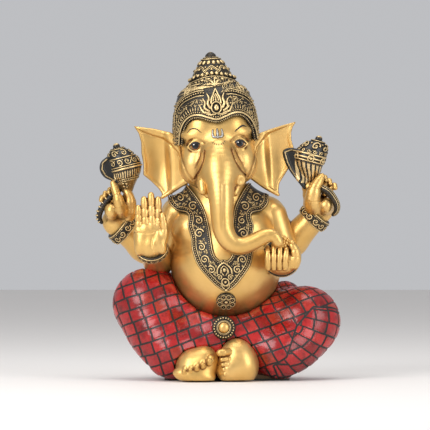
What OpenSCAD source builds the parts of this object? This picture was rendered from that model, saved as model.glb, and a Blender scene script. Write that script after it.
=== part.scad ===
// Seated four-armed Ganesha figure, cast in separate resin pieces that are pinned and glued together.
// Millimetres. The figure faces -Y, +Z is up, and the origin is the centre of the resting face.
// "Right" and "left" are the figure's own sides, so its right is at -X.

/* [Body] */
// Half width of the belly
belly_r = 50; // [47:1:51]
// Height of the middle of the belly
belly_z = 105; // [103:1:107]
// Depth of the belly from its middle to its front
belly_depth = 46; // [44:1:47]
// Height of the shoulder line
shoulder_z = 152; // [150:1:154]
// Wall of the hollow castings
wall = 6; // [4:0.5:8]

/* [Head] */
// Height of the middle of the face
face_z = 202; // [200:1:204]
// Half width of the head
head_r = 35; // [33:1:36]
// Lean of the head towards the figure's right, in degrees
head_lean = 4; // [2:0.5:5]
// Height of the crown's tip above the middle of the face
crown_h = 93; // [88:1:95]
// Half width of the crown at its rim
crown_r = 39; // [38:0.5:39.5]
// Reach of an ear from the middle of the head
ear_reach = 74; // [70:1:76]
// Thickness of an ear
ear_t = 4; // [3.5:0.5:5]
// Sweep of the ears towards the back, in degrees
ear_sweep = 8; // [4:1:12]

/* [Legs] */
// Distance from the middle to the outside of a knee
knee_reach = 101; // [98:1:103]
// Radius of a knee
knee_r = 30; // [28:1:32]
// Radius of a shin at the ankle
ankle_r = 25; // [23:1:26]

/* [Arms] */
// Radius of an arm at the shoulder
arm_r = 14; // [13:0.5:15]
// Radius of a raised arm at the wrist
wrist_r = 10.5; // [9.5:0.5:11]
// Thickness of a bracelet's wall
bracelet_t = 2; // [1.5:0.25:2.5]

/* [Base] */
// Thickness of the felt pad
felt_t = 1.5; // [1:0.25:2]
// Thickness of the plate that closes the casting
plate_t = 4; // [3:0.5:5]

/* [Dowels] */
// Radius of the dowels in the shoulders, the neck and the crown
dowel_r = 3; // [2.5:0.25:3.5]
// Radius of the pins in the ears, wrists, feet and conches
pin_r = 1.5; // [1.25:0.25:1.75]
// Radial glue gap around a dowel
glue_gap = 0.1; // [0.05:0.05:0.2]

/* [Hidden] */

gold = "#D9A94E";
antique = "#4A3D22";
red = "#8E1418";
steel = "#B9BCC0";
soft_fn = 24;
small_fn = 16;
finger_fn = 12;
fit = 0.15;

right = -1;
left = 1;
belly_h = 53;
// Opening under the belly, through which the two hollows meet.
belly_opening_r = 18;
// How far the cloth keeps below the middle of the belly, in front of it.
cloth_drop = 48;

// The lowest casting stands on the felt, so it starts above the resting face.
floor_z = felt_t;

// Head frame: its origin is the middle of the face.
face_at = [-8, -10, face_z];
crown_rim_z = 12;
finial_z = 66;
finial_r = 21;

// Ears: where their plane crosses the middle of the head, and the pins that hold them.
ear_y = 1;
ear_pin_from = [20, 2, 2];
ear_pin_to = [41, 2, 2];

// Dowels: where each starts and ends. The crown's is in the head frame.
neck_dowel_ends = [[-6, 6, 160], [-8, 2, 192]];
crown_dowel_ends = [[0, 6, 34], [0, 6, 58]];
trunk_dowel_ends = [[-5, -26, 192], [-5, -44, 189]];
shoulder_dowel_reach = 18;
shoulder_dowel_rise = 4;

// Feet: a chain of joints from the heel to the toes, and the pins that hold them to the dhoti.
right_foot_path = [[-27, -46, 17], [-33, -53, 13], [-19, -56, 12]];
left_foot_path = [[9, -44, 20], [8, -52, 16], [-4, -56, 18]];
foot_pin_ends = [[[-30, -32, 16], [-29, -52, 15]], [[9, -32, 18], [8, -52, 18]]];

// Hips, knees, ankles and the middle of the lap, under the dhoti's outer surface.
right_knee = [right * (knee_reach - knee_r), -6, 69];
left_knee = [left * (knee_reach - knee_r), -6, 52];
right_hip = [-30, 6, 62];
left_hip = [30, 6, 48];
hip_r = 34;
right_ankle = [-46, -28, ankle_r];
left_ankle = [50, -26, ankle_r];
lap_middle = [0, -24, 26];
lap_r = 26;

// Tails that curl out of the fists, from the fist to the tip.
right_tail_path = [[-104, 2, 172], [-110, 0, 165], [-114, 0, 156], [-115, 1, 147], [-113, 2, 141]];
left_tail_path = [[86, -6, 173], [92, -8, 168], [96, -8, 161], [97.5, -7, 154], [95.5, -5, 149]];
tail_radii = [3, 3.4, 3.4, 3.2, 2.4];

// Arm joints: shoulder, elbow, wrist and the middle of the hand.
rear_right = [[-40, 16, shoulder_z], [-72, 18, 117], [-93, 10, 136], [-96, 6, 156]];
rear_left = [[38, 16, shoulder_z], [66, 18, 121], [78, 10, 150], [83, 6, 168]];
front_right = [[-42, 4, shoulder_z - 2], [-58, 4, 104], [-66, -32, 112], [-68, -40, 134]];
front_left = [[40, 4, shoulder_z - 2], [53, 3, 112], [49, -34, 110], [48, -50, 110]];
front_right_wrist_r = 11.5;
front_left_wrist_r = 13.5;
rear_band_w = 9;
front_band_w = 5;
bracelet_gap = 1;

// Foot of each conch, where its fist holds it, and its lean in degrees from upright.
conch_foot_right = [-87.5, 4, 165];
conch_foot_left = [72.5, 4, 172];
conch_lean = 14;
conch_r = 14;
conch_len = 47;

// Trunk: points along its middle, and its radius at each.
trunk_path = [
    [-5, -46, 194], [-5, -53, 182], [-4, -57, 168], [-4, -59, 146], [0, -60, 129],
    [12, -61, 121], [25, -62, 126], [36, -62, 131], [43, -62, 127]
];
trunk_radii = [15.5, 14, 11.8, 10, 9, 7.6, 6.6, 6, 5];

// Necklace: distances of the collar's outer and inner edges from its middle line, each with its
// height, from the shoulder down to the point. The middle line leans towards the figure's right.
collar_outer = [[46, 166], [29, 149], [27, 134], [26, 110], [21, 99], [8, 83]];
collar_inner = [[3, 108], [8, 115], [10, 138], [14, 158], [28, 176]];
collar_point = [0, 81];
collar_notch = [0, 107];
collar_lean = 0.085;
collar_t = 2.5;

modak_at = front_left[3] + [2, -3, 13.5];
modak_r = 6;

pendant_at = [0, 0, 71.5];
pendant_r = 9;
rosette_at = [-2, -45, 48];
rosette_r = 10.5;
rosette_dome_r = 6;
rosette_t = 4;

// --- Helpers -------------------------------------------------------------------------------------

// A soft limb: spheres hulled in pairs along a path.
module chain(path, radii, grow = 0, fn = soft_fn) {
    for (i = [0 : len(radii) - 2])
        hull() {
            translate(path[i]) sphere(radii[i] + grow, $fn = fn);
            translate(path[i + 1]) sphere(radii[i + 1] + grow, $fn = fn);
        }
}

module ball(at, radii, grow = 0, fn = soft_fn) {
    translate(at) hull() scale(radii + [grow, grow, grow]) sphere(1, $fn = fn);
}

// A cylinder from one point to another.
module rod(a, b, r, fn = 32) {
    d = b - a;
    translate(a)
        rotate([0, acos(d.z / norm(d)), atan2(d.y, d.x)])
            cylinder(h = norm(d), r = r, $fn = fn);
}

module above_floor() {
    intersection() {
        children();
        translate([-150, -100, floor_z]) cube([300, 200, 400]);
    }
}

function between(a, b, t) = a + (b - a) * t;

module in_head_frame() {
    translate(face_at) rotate([0, -head_lean, 0]) children();
}

// An ear's own frame: out from the head along +X, up along +Z, and its plane swept back.
module in_ear_frame(side) {
    in_head_frame() mirror([side == right ? 1 : 0, 0, 0])
        translate([0, ear_y, 0]) rotate([0, 0, ear_sweep]) children();
}

// --- Dowels and pins -----------------------------------------------------------------------------

module neck_dowel_form(r) {
    rod(neck_dowel_ends[0], neck_dowel_ends[1], r);
}

module crown_dowel_form(r) {
    in_head_frame() rod(crown_dowel_ends[0], crown_dowel_ends[1], r);
}

module trunk_dowel_form(r) {
    rod(trunk_dowel_ends[0], trunk_dowel_ends[1], r);
}

module shoulder_dowels_form(r) {
    for (arm = [rear_right, rear_left, front_right, front_left]) {
        inward = [-sign(arm[0].x) * shoulder_dowel_reach, 0, shoulder_dowel_rise];
        rod(arm[0] + inward, between(arm[0], arm[1], 0.15), r);
    }
}

module ear_pins_form(r) {
    for (side = [right, left])
        in_ear_frame(side) rod(ear_pin_from, ear_pin_to, r);
}

module wrist_pins_form(r) {
    for (arm = [rear_right, rear_left, front_right, front_left])
        rod(between(arm[2], arm[1], 0.25), between(arm[2], arm[3], 0.3), r);
}

module conch_pins_form(r) {
    rod(conch_foot_right + [2, 0, -9], conch_foot_right + [-1, 0, 7], r);
    rod(conch_foot_left + [2, 0, -9], conch_foot_left + [1, 0, 7], r);
}

module foot_pins_form(r) {
    for (ends = foot_pin_ends)
        rod(ends[0], ends[1], r);
}

module all_holes() {
    neck_dowel_form(dowel_r + glue_gap);
    crown_dowel_form(dowel_r + glue_gap);
    trunk_dowel_form(dowel_r + glue_gap);
    shoulder_dowels_form(dowel_r + glue_gap);
    ear_pins_form(pin_r + glue_gap);
    wrist_pins_form(pin_r + glue_gap);
    conch_pins_form(pin_r + glue_gap);
    foot_pins_form(pin_r + glue_gap);
}

// --- Forms: the outer shapes that pieces are cut from ----------------------------------------------

module torso_form(grow = 0) {
    ball([0, 0, belly_z], [belly_r, belly_depth, belly_h], grow);
    ball([-3, 5, shoulder_z - 8], [47, 31, 32], grow);
    chain([[-40, 10, shoulder_z - 2], [38, 10, shoulder_z - 2]], [19, 19], grow);
    for (side = [right, left])
        ball([side * 24 - 5, -13, shoulder_z - 12], [20, 19, 17], grow, small_fn + 4);
    chain([[-5, 6, shoulder_z + 8], [-8, 0, 178]], [28, 24], grow);
}

module torso_hollow() {
    ball([0, 0, belly_z], [belly_r, belly_depth, belly_h], -wall, small_fn);
    translate([0, 0, 40]) cylinder(h = 40, r = belly_opening_r, $fn = 32);
}

module lap_form(grow = 0) {
    chain([right_hip, right_knee], [hip_r, knee_r], grow);
    chain([right_knee, right_ankle], [knee_r, ankle_r + 1], grow);
    chain([left_hip, left_knee], [hip_r + 1, knee_r], grow);
    chain([left_knee, left_ankle], [knee_r, ankle_r], grow);
    chain([right_ankle, lap_middle], [ankle_r, lap_r], grow);
    chain([left_ankle, lap_middle], [ankle_r, lap_r], grow);
    ball([0, 8, 34], [68, 42, 52], grow);
    ball([0, -22, 36], [46, 23, 30], grow, small_fn + 4);
    ball([52, 16, 70], [18, 16, 18], grow, small_fn);
}

module lap_hollow() {
    ball([0, 4, 30], [58, 34, 34], 0, small_fn);
}

// The belly hangs over the cloth, so the space in front of the belly is clear.
module belly_front()
    translate([0, 0, belly_z]) scale([belly_r, 1, cloth_drop]) rotate([90, 0, 0])
        cylinder(h = 80, r = 1, $fn = 64);

module foot_form(side) {
    path = side == right ? right_foot_path : left_foot_path;
    heel_r = side == right ? 15 : 18;
    sole_r = side == right ? 12 : 15;
    toe_r = side == right ? 11 : 9;
    chain([path[0], path[1]], [heel_r, sole_r], 0, small_fn);
    chain([path[1], path[2]], [sole_r, toe_r], 0, small_fn);
}

module head_form(grow = 0) {
    in_head_frame() {
        ball([0, 0, 12], [head_r, 36, 38], grow);
        for (side = [right, left])
            ball([side * 17, -12, -8], [17, 20, 20], grow, small_fn);
        ball([0, -12, -20], [20, 20, 13], grow, small_fn);
    }
}

// Half section of the crown: a rounded cap that draws in to a pointed top.
crown_profile = [
    [0, 2], [crown_r, 2], [crown_r, 26], [crown_r - 1.5, 38], [crown_r - 4, 48],
    [crown_r - 6.5, 54], [crown_r - 10, 58.5], [crown_r - 15, 62], [finial_r, finial_z], [0, finial_z]
];

// Half section of the tiered top: four tiers that step in to the tip.
finial_profile = [
    [0, finial_z], [finial_r, finial_z], [20, 69], [17.5, 71], [16.5, 75.5], [14, 77.5],
    [13, 81], [10.5, 82.5], [9, 86], [5.5, 87.5], [4.5, 90], [2.5, crown_h - 1], [0, crown_h]
];

// The opening for the face: two brows that meet in a small point, widening towards the cheeks.
module face_window() {
    rotate([90, 0, 0]) linear_extrude(60)
        polygon([[-33, -10], [-33, 12], [-29, 26], [-19, 34.5], [-9, 34], [0, 29.5],
                 [9, 34], [19, 34.5], [29, 26], [33, 12], [33, -10]]);
}

// A fan with its highest point at the outer corner, on a thicker root beside the cheek.
module ear_form(side) {
    in_ear_frame(side) {
        translate([0, ear_t, 0]) rotate([90, 0, 0]) linear_extrude(ear_t)
            polygon([[28, -22], [30, 17], [42, 23], [ear_reach, 29.5], [68.5, 11],
                     [69, -12], [56, -30], [48, -34]]);
        translate([29, ear_t / 2, -18]) cylinder(h = 34, r = 5, $fn = 32);
        rod([29, ear_t / 2, ear_pin_to.z], [45, ear_t / 2, ear_pin_to.z], 3.5);
    }
}

module arm_form(joints, grow = 0, wrist = wrist_r) {
    chain(joints, [arm_r, arm_r - 1.5, wrist], grow, small_fn);
}

// A band around a wrist, along the line from the wrist to the hand.
module band_form(joints, reach, width, wall_r, bore_r) {
    d = joints[3] - joints[1];
    translate(joints[2])
        rotate([0, acos(d.z / norm(d)), atan2(d.y, d.x)])
            translate([0, 0, reach])
                rotate_extrude($fn = 48)
                    translate([bore_r, -width / 2]) square([wall_r, width]);
}

module fist_form(joints, side) {
    hand = joints[3];
    chain([joints[2], hand], [wrist_r - 1, 10.5], 0, small_fn);
    for (i = [0 : 3])
        chain([hand + [-side * 4, -6, 8 - 5.4 * i], hand + [side * 6, -9, 8.5 - 5.4 * i]],
              [3.4, 3.2], 0, finger_fn);
    chain([hand + [-side * 6, -4, 4], hand + [-side * 4, -8, 12]], [4, 3.2], 0, finger_fn);
}

// Everything in front of the plane where a hand meets its arm.
module past_wrist(joints) {
    d = joints[3] - joints[1];
    translate(joints[2])
        rotate([0, acos(d.z / norm(d)), atan2(d.y, d.x)])
            translate([-40, -40, 0]) cube([80, 80, 80]);
}

module palm_form() {
    wrist = front_right[2];
    palm = front_right[3];
    hull() {
        translate(wrist) sphere(front_right_wrist_r, $fn = small_fn);
        translate(palm + [0, -1, -2]) scale([1.45, 0.75, 1.2]) sphere(10, $fn = small_fn);
    }
    hull() {
        translate(palm + [0, 0, 8]) scale([1.45, 0.6, 0.8]) sphere(10, $fn = small_fn);
        translate(palm + [0, -1, -2]) scale([1.45, 0.75, 1.2]) sphere(10, $fn = small_fn);
    }
    finger_tops = [27, 32, 33.5, 23];
    finger_x = [6.4, 1, -4.8, -10.6];
    for (i = [0 : 3])
        chain([palm + [finger_x[i], 0, 8], palm + [finger_x[i] * 1.08, -1, finger_tops[i] - 3]],
              [3.9, 3], 0, finger_fn);
    chain([palm + [11, -2, -3], palm + [12, -5, 8], palm + [10.5, -7, 16]], [5.5, 4.2, 3], 0, finger_fn);
}

module cupped_hand_form() {
    hand = front_left[3];
    chain([front_left[2], hand + [-1, 1, 0]], [front_left_wrist_r - 1, 14], 0, small_fn);
    for (x = [-10.5 : 5 : 4.5])
        chain([hand + [x, -8, -6], hand + [x, -11, 3], hand + [x, -7, 7.5]],
              [3.4, 3.2, 2.9], 0, finger_fn);
    chain([hand + [10.5, -6, -3], hand + [11.5, -6, 8]], [4.6, 3.6], 0, finger_fn);
}

module conch_form(foot, side) {
    translate(foot) rotate([0, side * conch_lean, 0])
        rotate_extrude($fn = 48)
            polygon([[0, -1], [2.2, 0], [6, 6], [9.6, 14], [12.6, 21], [conch_r, 25], [conch_r, 28],
                     [11.4, 31], [11, 34], [7.6, 37], [7.2, 39.5], [4, 41.5], [3.6, 43.5],
                     [2.6, conch_len - 0.5], [0, conch_len]]);
}

module conch_tail_form(side) {
    chain(side == right ? right_tail_path : left_tail_path, tail_radii, 0, small_fn);
}

function collar_at(p, side) = [side * p.x - collar_lean * (p.y - collar_point.y), p.y];

module collar_prism() {
    outer = len(collar_outer) - 1;
    inner = len(collar_inner) - 1;
    rotate([90, 0, 0]) linear_extrude(70) polygon(concat(
        [for (i = [0 : outer]) collar_at(collar_outer[i], right)], [collar_at(collar_point, right)],
        [for (i = [outer : -1 : 0]) collar_at(collar_outer[i], left)],
        [for (i = [inner : -1 : 0]) collar_at(collar_inner[i], left)], [collar_at(collar_notch, right)],
        [for (i = [0 : inner]) collar_at(collar_inner[i], right)]
    ));
}

module trunk_form(grow = 0) {
    chain(trunk_path, trunk_radii, grow, small_fn + 2);
}

module base_outline(inset) {
    offset(-inset, $fn = 32)
        hull() {
            translate([-46, -22]) circle(14, $fn = 32);
            translate([48, -20]) circle(14, $fn = 32);
            translate([-34, 22]) circle(16, $fn = 32);
            translate([34, 22]) circle(16, $fn = 32);
        }
}

// --- Pieces --------------------------------------------------------------------------------------

module torso() color(gold) difference() {
    torso_form();
    torso_hollow();
    translate([-60, -60, -1]) cube([120, 120, 55]);
    all_holes();
}

module dhoti() color(red) difference() {
    above_floor() lap_form();
    torso_form(fit);
    belly_front();
    above_floor() foot_form(right);
    above_floor() foot_form(left);
    lap_hollow();
    translate([0, 0, -1]) linear_extrude(20) base_outline(8);
    translate(rosette_at) rotate([90, 0, 0]) cylinder(h = 20, r = rosette_r + fit, $fn = 48);
    arm_form(front_right, fit, front_right_wrist_r);
    arm_form(rear_right, fit);
    foot_pins_form(pin_r + glue_gap);
}

module base_plate() color("saddlebrown")
    translate([0, 0, floor_z]) linear_extrude(plate_t) base_outline(8.3);

module felt_pad() color("darkgreen") linear_extrude(felt_t) base_outline(5);

module head() color(gold) difference() {
    head_form();
    torso_form(fit);
    chain([trunk_path[0], trunk_path[1], trunk_path[2]],
          [trunk_radii[0], trunk_radii[1], trunk_radii[2]], fit, small_fn + 2);
    ear_form(right);
    ear_form(left);
    tusk_form(right);
    tusk_form(left);
    all_holes();
}

module tusk_form(side) {
    in_head_frame()
        chain([[side * 17, -27, -17], [side * 17, -36, -27], [side * 16, -40, side == right ? -34 : -29]],
              [5, 4.6, 3.4], 0, small_fn);
}

module trunk() color(gold) difference() {
    trunk_form();
    trunk_dowel_form(dowel_r + glue_gap);
}

module tusk(side) color(gold) difference() {
    tusk_form(side);
    trunk_form(fit);
}

module ear(side) color(gold) difference() {
    ear_form(side);
    torso_form(fit);
    ear_pins_form(pin_r + glue_gap);
}

module crown_cap_form() {
    rotate_extrude($fn = 48) polygon(crown_profile);
}

module crown() color(antique) difference() {
    in_head_frame() difference() {
        crown_cap_form();
        face_window();
        translate([-60, -60, -60]) cube([120, 120, 60 + crown_rim_z]);
    }
    head_form(fit);
    ear_form(right);
    ear_form(left);
    crown_dowel_form(dowel_r + glue_gap);
}

module crown_finial() color(antique)
    in_head_frame() rotate_extrude($fn = 48) polygon(finial_profile);

// A leaf-shaped jewel whose back follows the crown.
module crown_crest() color(gold) in_head_frame() difference() {
    translate([0, 5 - crown_r, 46]) rotate([82, 0, 0])
        linear_extrude(8)
            polygon([[0, -12], [8, -8], [10.5, 0], [7, 9], [0, 18], [-7, 9], [-10.5, 0], [-8, -8]]);
    crown_cap_form();
}

module rear_arm(joints) color(gold) difference() {
    arm_form(joints);
    torso_form(fit);
    past_wrist(joints);
    all_holes();
}

module front_arm(joints, rear_joints, wrist) color(gold) difference() {
    arm_form(joints, 0, wrist);
    torso_form(fit);
    arm_form(rear_joints, fit);
    past_wrist(joints);
    all_holes();
}

module fist(joints, side) color(gold) difference() {
    intersection() {
        fist_form(joints, side);
        past_wrist(joints);
    }
    conch_form(side == right ? conch_foot_right : conch_foot_left, side);
    conch_tail_form(side);
    all_holes();
}

module rear_right_hand() fist(rear_right, right);

module rear_left_hand() fist(rear_left, left);

module front_right_hand() color(gold) difference() {
    intersection() {
        palm_form();
        past_wrist(front_right);
    }
    wrist_pins_form(pin_r + glue_gap);
}

module front_left_hand() color(gold) difference() {
    intersection() {
        cupped_hand_form();
        past_wrist(front_left);
    }
    torso_form(fit);
    trunk_form(fit);
    translate(modak_at) sphere(modak_r + fit, $fn = soft_fn);
    wrist_pins_form(pin_r + glue_gap);
}

module bracelet(joints, width, wrist) color(antique)
    band_form(joints, -width / 2 - 1, width, bracelet_t, wrist + bracelet_gap);

module conch(foot, side) color(antique) difference() {
    conch_form(foot, side);
    conch_pins_form(pin_r + glue_gap);
}

module conch_tail(side) color(antique) difference() {
    conch_tail_form(side);
    conch_form(side == right ? conch_foot_right : conch_foot_left, side);
}

module modak() color(gold) translate(modak_at) sphere(modak_r, $fn = soft_fn);

module necklace() color(antique) difference() {
    intersection() {
        collar_prism();
        torso_form(collar_t);
    }
    torso_form(fit);
    head_form(fit);
    trunk_form(fit);
    ear_form(right);
    ear_form(left);
}

module pendant() color(antique) difference() {
    intersection() {
        translate(pendant_at) rotate([90, 0, 0]) cylinder(h = 60, r = pendant_r, $fn = 48);
        ball([0, 0, belly_z], [belly_r, belly_depth, belly_h], collar_t);
    }
    ball([0, 0, belly_z], [belly_r, belly_depth, belly_h], fit);
}

module waist_rosette() color(antique)
    translate(rosette_at) rotate([90, 0, 0]) {
        cylinder(h = rosette_t, r = rosette_r, $fn = 48);
        intersection() {
            sphere(rosette_dome_r + 1, $fn = 48);
            cylinder(h = 2 * rosette_r, r = rosette_dome_r, $fn = 48);
        }
    }

module foot(side) color(gold) difference() {
    above_floor() foot_form(side);
    if (side == left) foot_form(right);
    translate(rosette_at) rotate([90, 0, 0]) cylinder(h = 8, r = rosette_r + fit, $fn = 48);
    foot_pins_form(pin_r + glue_gap);
}

module dowels() color(steel) children();

torso();
dhoti();
base_plate();
felt_pad();
head();
trunk();
tusk(right);  // right_tusk
tusk(left);  // left_tusk
ear(right);  // right_ear
ear(left);  // left_ear
crown();
crown_finial();
crown_crest();
rear_arm(rear_right);  // rear_right_arm
rear_arm(rear_left);  // rear_left_arm
front_arm(front_right, rear_right, front_right_wrist_r);  // front_right_arm
front_arm(front_left, rear_left, front_left_wrist_r);  // front_left_arm
rear_right_hand();
rear_left_hand();
front_right_hand();
front_left_hand();
bracelet(rear_right, rear_band_w, wrist_r);  // rear_right_bracelet
bracelet(rear_left, rear_band_w, wrist_r);  // rear_left_bracelet
bracelet(front_right, front_band_w, front_right_wrist_r);  // front_right_bracelet
bracelet(front_left, front_band_w, front_left_wrist_r);  // front_left_bracelet
conch(conch_foot_right, right);  // right_conch
conch(conch_foot_left, left);  // left_conch
conch_tail(right);  // right_conch_tail
conch_tail(left);  // left_conch_tail
modak();
necklace();
pendant();
waist_rosette();
foot(right);  // right_foot
foot(left);  // left_foot
dowels() neck_dowel_form(dowel_r);  // neck_dowel
dowels() crown_dowel_form(dowel_r);  // crown_dowel
dowels() trunk_dowel_form(dowel_r);  // trunk_dowel
dowels() shoulder_dowels_form(dowel_r);  // shoulder_dowels
dowels() ear_pins_form(pin_r);  // ear_pins
dowels() wrist_pins_form(pin_r);  // wrist_pins
dowels() conch_pins_form(pin_r);  // conch_pins
dowels() foot_pins_form(pin_r);  // foot_pins
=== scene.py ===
"""The looks of the seated Ganesha figure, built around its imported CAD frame.

The castings are distance fields in millimetres, in the frame's own axes: +Z up, the figure faces -Y, and its
right hand is at -X. Each field is meshed finely and takes the place of its CAD node. Ornament is real relief:
beads, tubes and leaves laid on those surfaces.
"""

import math

import bmesh
import bpy
import numpy as np
import openvdb
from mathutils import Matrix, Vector


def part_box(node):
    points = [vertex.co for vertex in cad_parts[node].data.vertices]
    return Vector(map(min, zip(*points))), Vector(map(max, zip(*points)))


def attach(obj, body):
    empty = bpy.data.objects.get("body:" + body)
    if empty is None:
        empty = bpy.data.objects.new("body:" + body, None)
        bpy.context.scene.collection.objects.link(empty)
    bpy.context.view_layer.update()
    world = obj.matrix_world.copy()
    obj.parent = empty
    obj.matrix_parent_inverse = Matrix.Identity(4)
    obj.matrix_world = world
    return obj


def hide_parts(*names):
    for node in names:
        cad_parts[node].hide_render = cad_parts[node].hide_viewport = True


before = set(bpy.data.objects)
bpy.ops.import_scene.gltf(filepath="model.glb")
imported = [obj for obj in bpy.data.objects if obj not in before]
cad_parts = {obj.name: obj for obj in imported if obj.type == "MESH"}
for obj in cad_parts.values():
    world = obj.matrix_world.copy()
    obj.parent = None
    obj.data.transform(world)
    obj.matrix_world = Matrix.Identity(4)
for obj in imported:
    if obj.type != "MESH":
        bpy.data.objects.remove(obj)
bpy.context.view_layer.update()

MM = 0.001
RIGHT, LEFT = -1, 1
X, Y, Z = np.eye(3)


# ---------------------------------------------------------------- places taken from the CAD frame

def cad_box(node):
    """The node's lowest and highest corners, in millimetres."""
    low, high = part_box(node)
    return np.array(low) / MM, np.array(high) / MM


def cad_centre(node):
    low, high = cad_box(node)
    return (low + high) / 2


def at(x, y, z):
    return np.array([x, y, z], float)


FLOOR_Z = cad_box("felt_pad")[0][2]
CAST_Z = cad_box("felt_pad")[1][2]
BELLY = at(0, 0, cad_centre("pendant")[2] + 33.5)
SHOULDER_Z = cad_centre("shoulder_dowels")[2] + 0.8
FACE = at(cad_centre("head")[0] + 1.0, cad_box("head")[0][1] + 37.0, cad_box("head")[1][2] - 50)
HEAD_LEAN = math.radians(4)
WRIST_SHIFT = {
    "rear_right": at(-3.0, 0, 3.5),
    "rear_left": at(3.5, 0, 0.5),
    "front_right": at(-0.5, 0, 7.5),
    "front_left": at(0, 0, 0),
}
WRISTS = {name: cad_centre(name + "_bracelet") + WRIST_SHIFT[name] for name in WRIST_SHIFT}


# ---------------------------------------------------------------- distance fields

def size(v):
    return np.sqrt((v * v).sum(-1))


def join(a, b, k):
    """Union with a fillet of about k."""
    if k <= 0:
        return np.minimum(a, b)
    h = np.maximum(k - np.abs(a - b), 0) / k
    return np.minimum(a, b) - h * h * k / 4


def cut(a, b, k=0.0):
    """a without b, with an edge rounded by about k."""
    return -join(-a, b, k)


def ball(p, centre, radius):
    return size(p - centre) - radius


def turned(degrees_x=0.0, degrees_y=0.0, degrees_z=0.0):
    """Local axes as columns, turned about X, then Y, then Z."""
    m = np.eye(3)
    for axis, angle in enumerate((degrees_x, degrees_y, degrees_z)):
        c, s = math.cos(math.radians(angle)), math.sin(math.radians(angle))
        i, j = [(1, 2), (2, 0), (0, 1)][axis]
        r = np.eye(3)
        r[i, i], r[j, j], r[i, j], r[j, i] = c, c, -s, s
        m = r @ m
    return m


def egg(p, centre, radii, axes=None):
    """An ellipsoid."""
    q = p - centre
    if axes is not None:
        q = q @ axes
    r = np.array(radii, float)
    k0, k1 = size(q / r), size(q / (r * r))
    return k0 * (k0 - 1) / np.maximum(k1, 1e-6)


def limb(p, points, radii):
    """A round limb along points, whose radius runs from one to the next."""
    d = None
    for a, b, ra, rb in zip(points[:-1], points[1:], radii[:-1], radii[1:]):
        ab = b - a
        t = np.clip((p - a) @ ab / max(ab @ ab, 1e-9), 0, 1)
        part = size(p - a - t[:, None] * ab) - (ra + (rb - ra) * t)
        d = part if d is None else np.minimum(d, part)
    return d


def smooth_line(points, n):
    """n points on a Catmull-Rom curve through the given points, with any extra columns carried along."""
    q = np.asarray(points, float)
    q = np.vstack([2 * q[0] - q[1], q, 2 * q[-1] - q[-2]])
    s = np.linspace(0, len(q) - 3, n)
    i = np.minimum(s.astype(int), len(q) - 4)
    t = (s - i)[:, None]
    a, b, c, d = q[i], q[i + 1], q[i + 2], q[i + 3]
    square = 2 * a - 5 * b + 4 * c - d
    cube = 3 * b - a - 3 * c + d
    return 0.5 * (2 * b + (c - a) * t + square * t ** 2 + cube * t ** 3)


def sweep(p, stations, n=24):
    """A smooth limb through stations (x, y, z, radius)."""
    line = smooth_line(stations, n)
    return limb(p, line[:, :3], line[:, 3])


def polygon(p2, points):
    """Signed distance to a closed outline in the plane."""
    v = np.asarray(points, float)
    d = np.full(len(p2), 1e9)
    inside = np.zeros(len(p2), bool)
    for a, b in zip(v, np.roll(v, -1, axis=0)):
        e, w = b - a, p2 - a
        t = np.clip(w @ e / max(e @ e, 1e-9), 0, 1)
        d = np.minimum(d, ((w - t[:, None] * e) ** 2).sum(-1))
        crosses = (a[1] > p2[:, 1]) != (b[1] > p2[:, 1])
        if crosses.any():
            slope = (b[0] - a[0]) / (b[1] - a[1]) if b[1] != a[1] else 0.0
            inside ^= crosses & (p2[:, 0] < a[0] + (p2[:, 1] - a[1]) * slope)
    d = np.sqrt(d)
    return np.where(inside, -d, d)


def bump(x):
    """1 at 0, falling smoothly to 0 at 1."""
    return np.clip(1 - x * x, 0, 1) ** 2


def smoothstep(low, high, x):
    t = np.clip((x - low) / (high - low), 0, 1)
    return t * t * (3 - 2 * t)


def waves(p, scale, seed):
    """Smooth, repeatable noise of about +-1."""
    r = np.random.default_rng(seed)
    total = 0.0
    for _ in range(6):
        direction = r.normal(size=3)
        direction *= r.uniform(0.7, 1.5) / (size(direction) * scale)
        total = total + np.sin(p @ direction * 2 * math.pi + r.uniform(0, 6.28))
    return total / 3


# ---------------------------------------------------------------- fields to meshes

BLOCK = 12
STEP = 1.4


def field_mesh(field, low, high, step):
    """Points and quads on the field's zero surface. Only blocks near the surface are worked out."""
    low, high = np.asarray(low, float), np.asarray(high, float)
    counts = (np.ceil((high - low) / step / BLOCK).astype(int)) * BLOCK
    blocks = counts // BLOCK
    span = BLOCK * step
    ijk = np.stack(np.meshgrid(*[np.arange(b) for b in blocks], indexing="ij"), -1).reshape(-1, 3)
    centres = low + (ijk + 0.5) * span - step / 2
    rough = field(centres)
    grid = np.empty(counts, np.float32)
    solid = np.where(rough < 0, -span, span).reshape(blocks)
    grid[:] = np.repeat(np.repeat(np.repeat(solid, BLOCK, 0), BLOCK, 1), BLOCK, 2)
    near = ijk[np.abs(rough) < span * 1.05 + 1.5]
    offsets = np.stack(np.meshgrid(*[np.arange(BLOCK)] * 3, indexing="ij"), -1).reshape(-1, 3)
    for batch in np.array_split(near, max(1, len(near) // 60)):
        if len(batch) == 0:
            continue
        cells = (batch[:, None, :] * BLOCK + offsets[None]).reshape(-1, 3)
        values = field(low + cells * step)
        grid[cells[:, 0], cells[:, 1], cells[:, 2]] = values
    vdb = openvdb.FloatGrid(float(span))
    vdb.copyFromArray(grid)
    points, quads = vdb.convertToQuads()
    points = low + points * step
    for _ in range(2):
        value, slope = field(points), gradient(field, points, step * 0.25)
        move = value / np.maximum((slope * slope).sum(-1), 0.04)
        points = points - slope * np.clip(move, -step, step)[:, None]
    return points, quads[:, ::-1]


def gradient(field, points, e):
    return np.stack([(field(points + e * axis) - field(points - e * axis)) / (2 * e) for axis in (X, Y,
                                                                                                  Z)], -1)


def unit(v):
    return v / np.maximum(size(v), 1e-9)[..., None]


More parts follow.
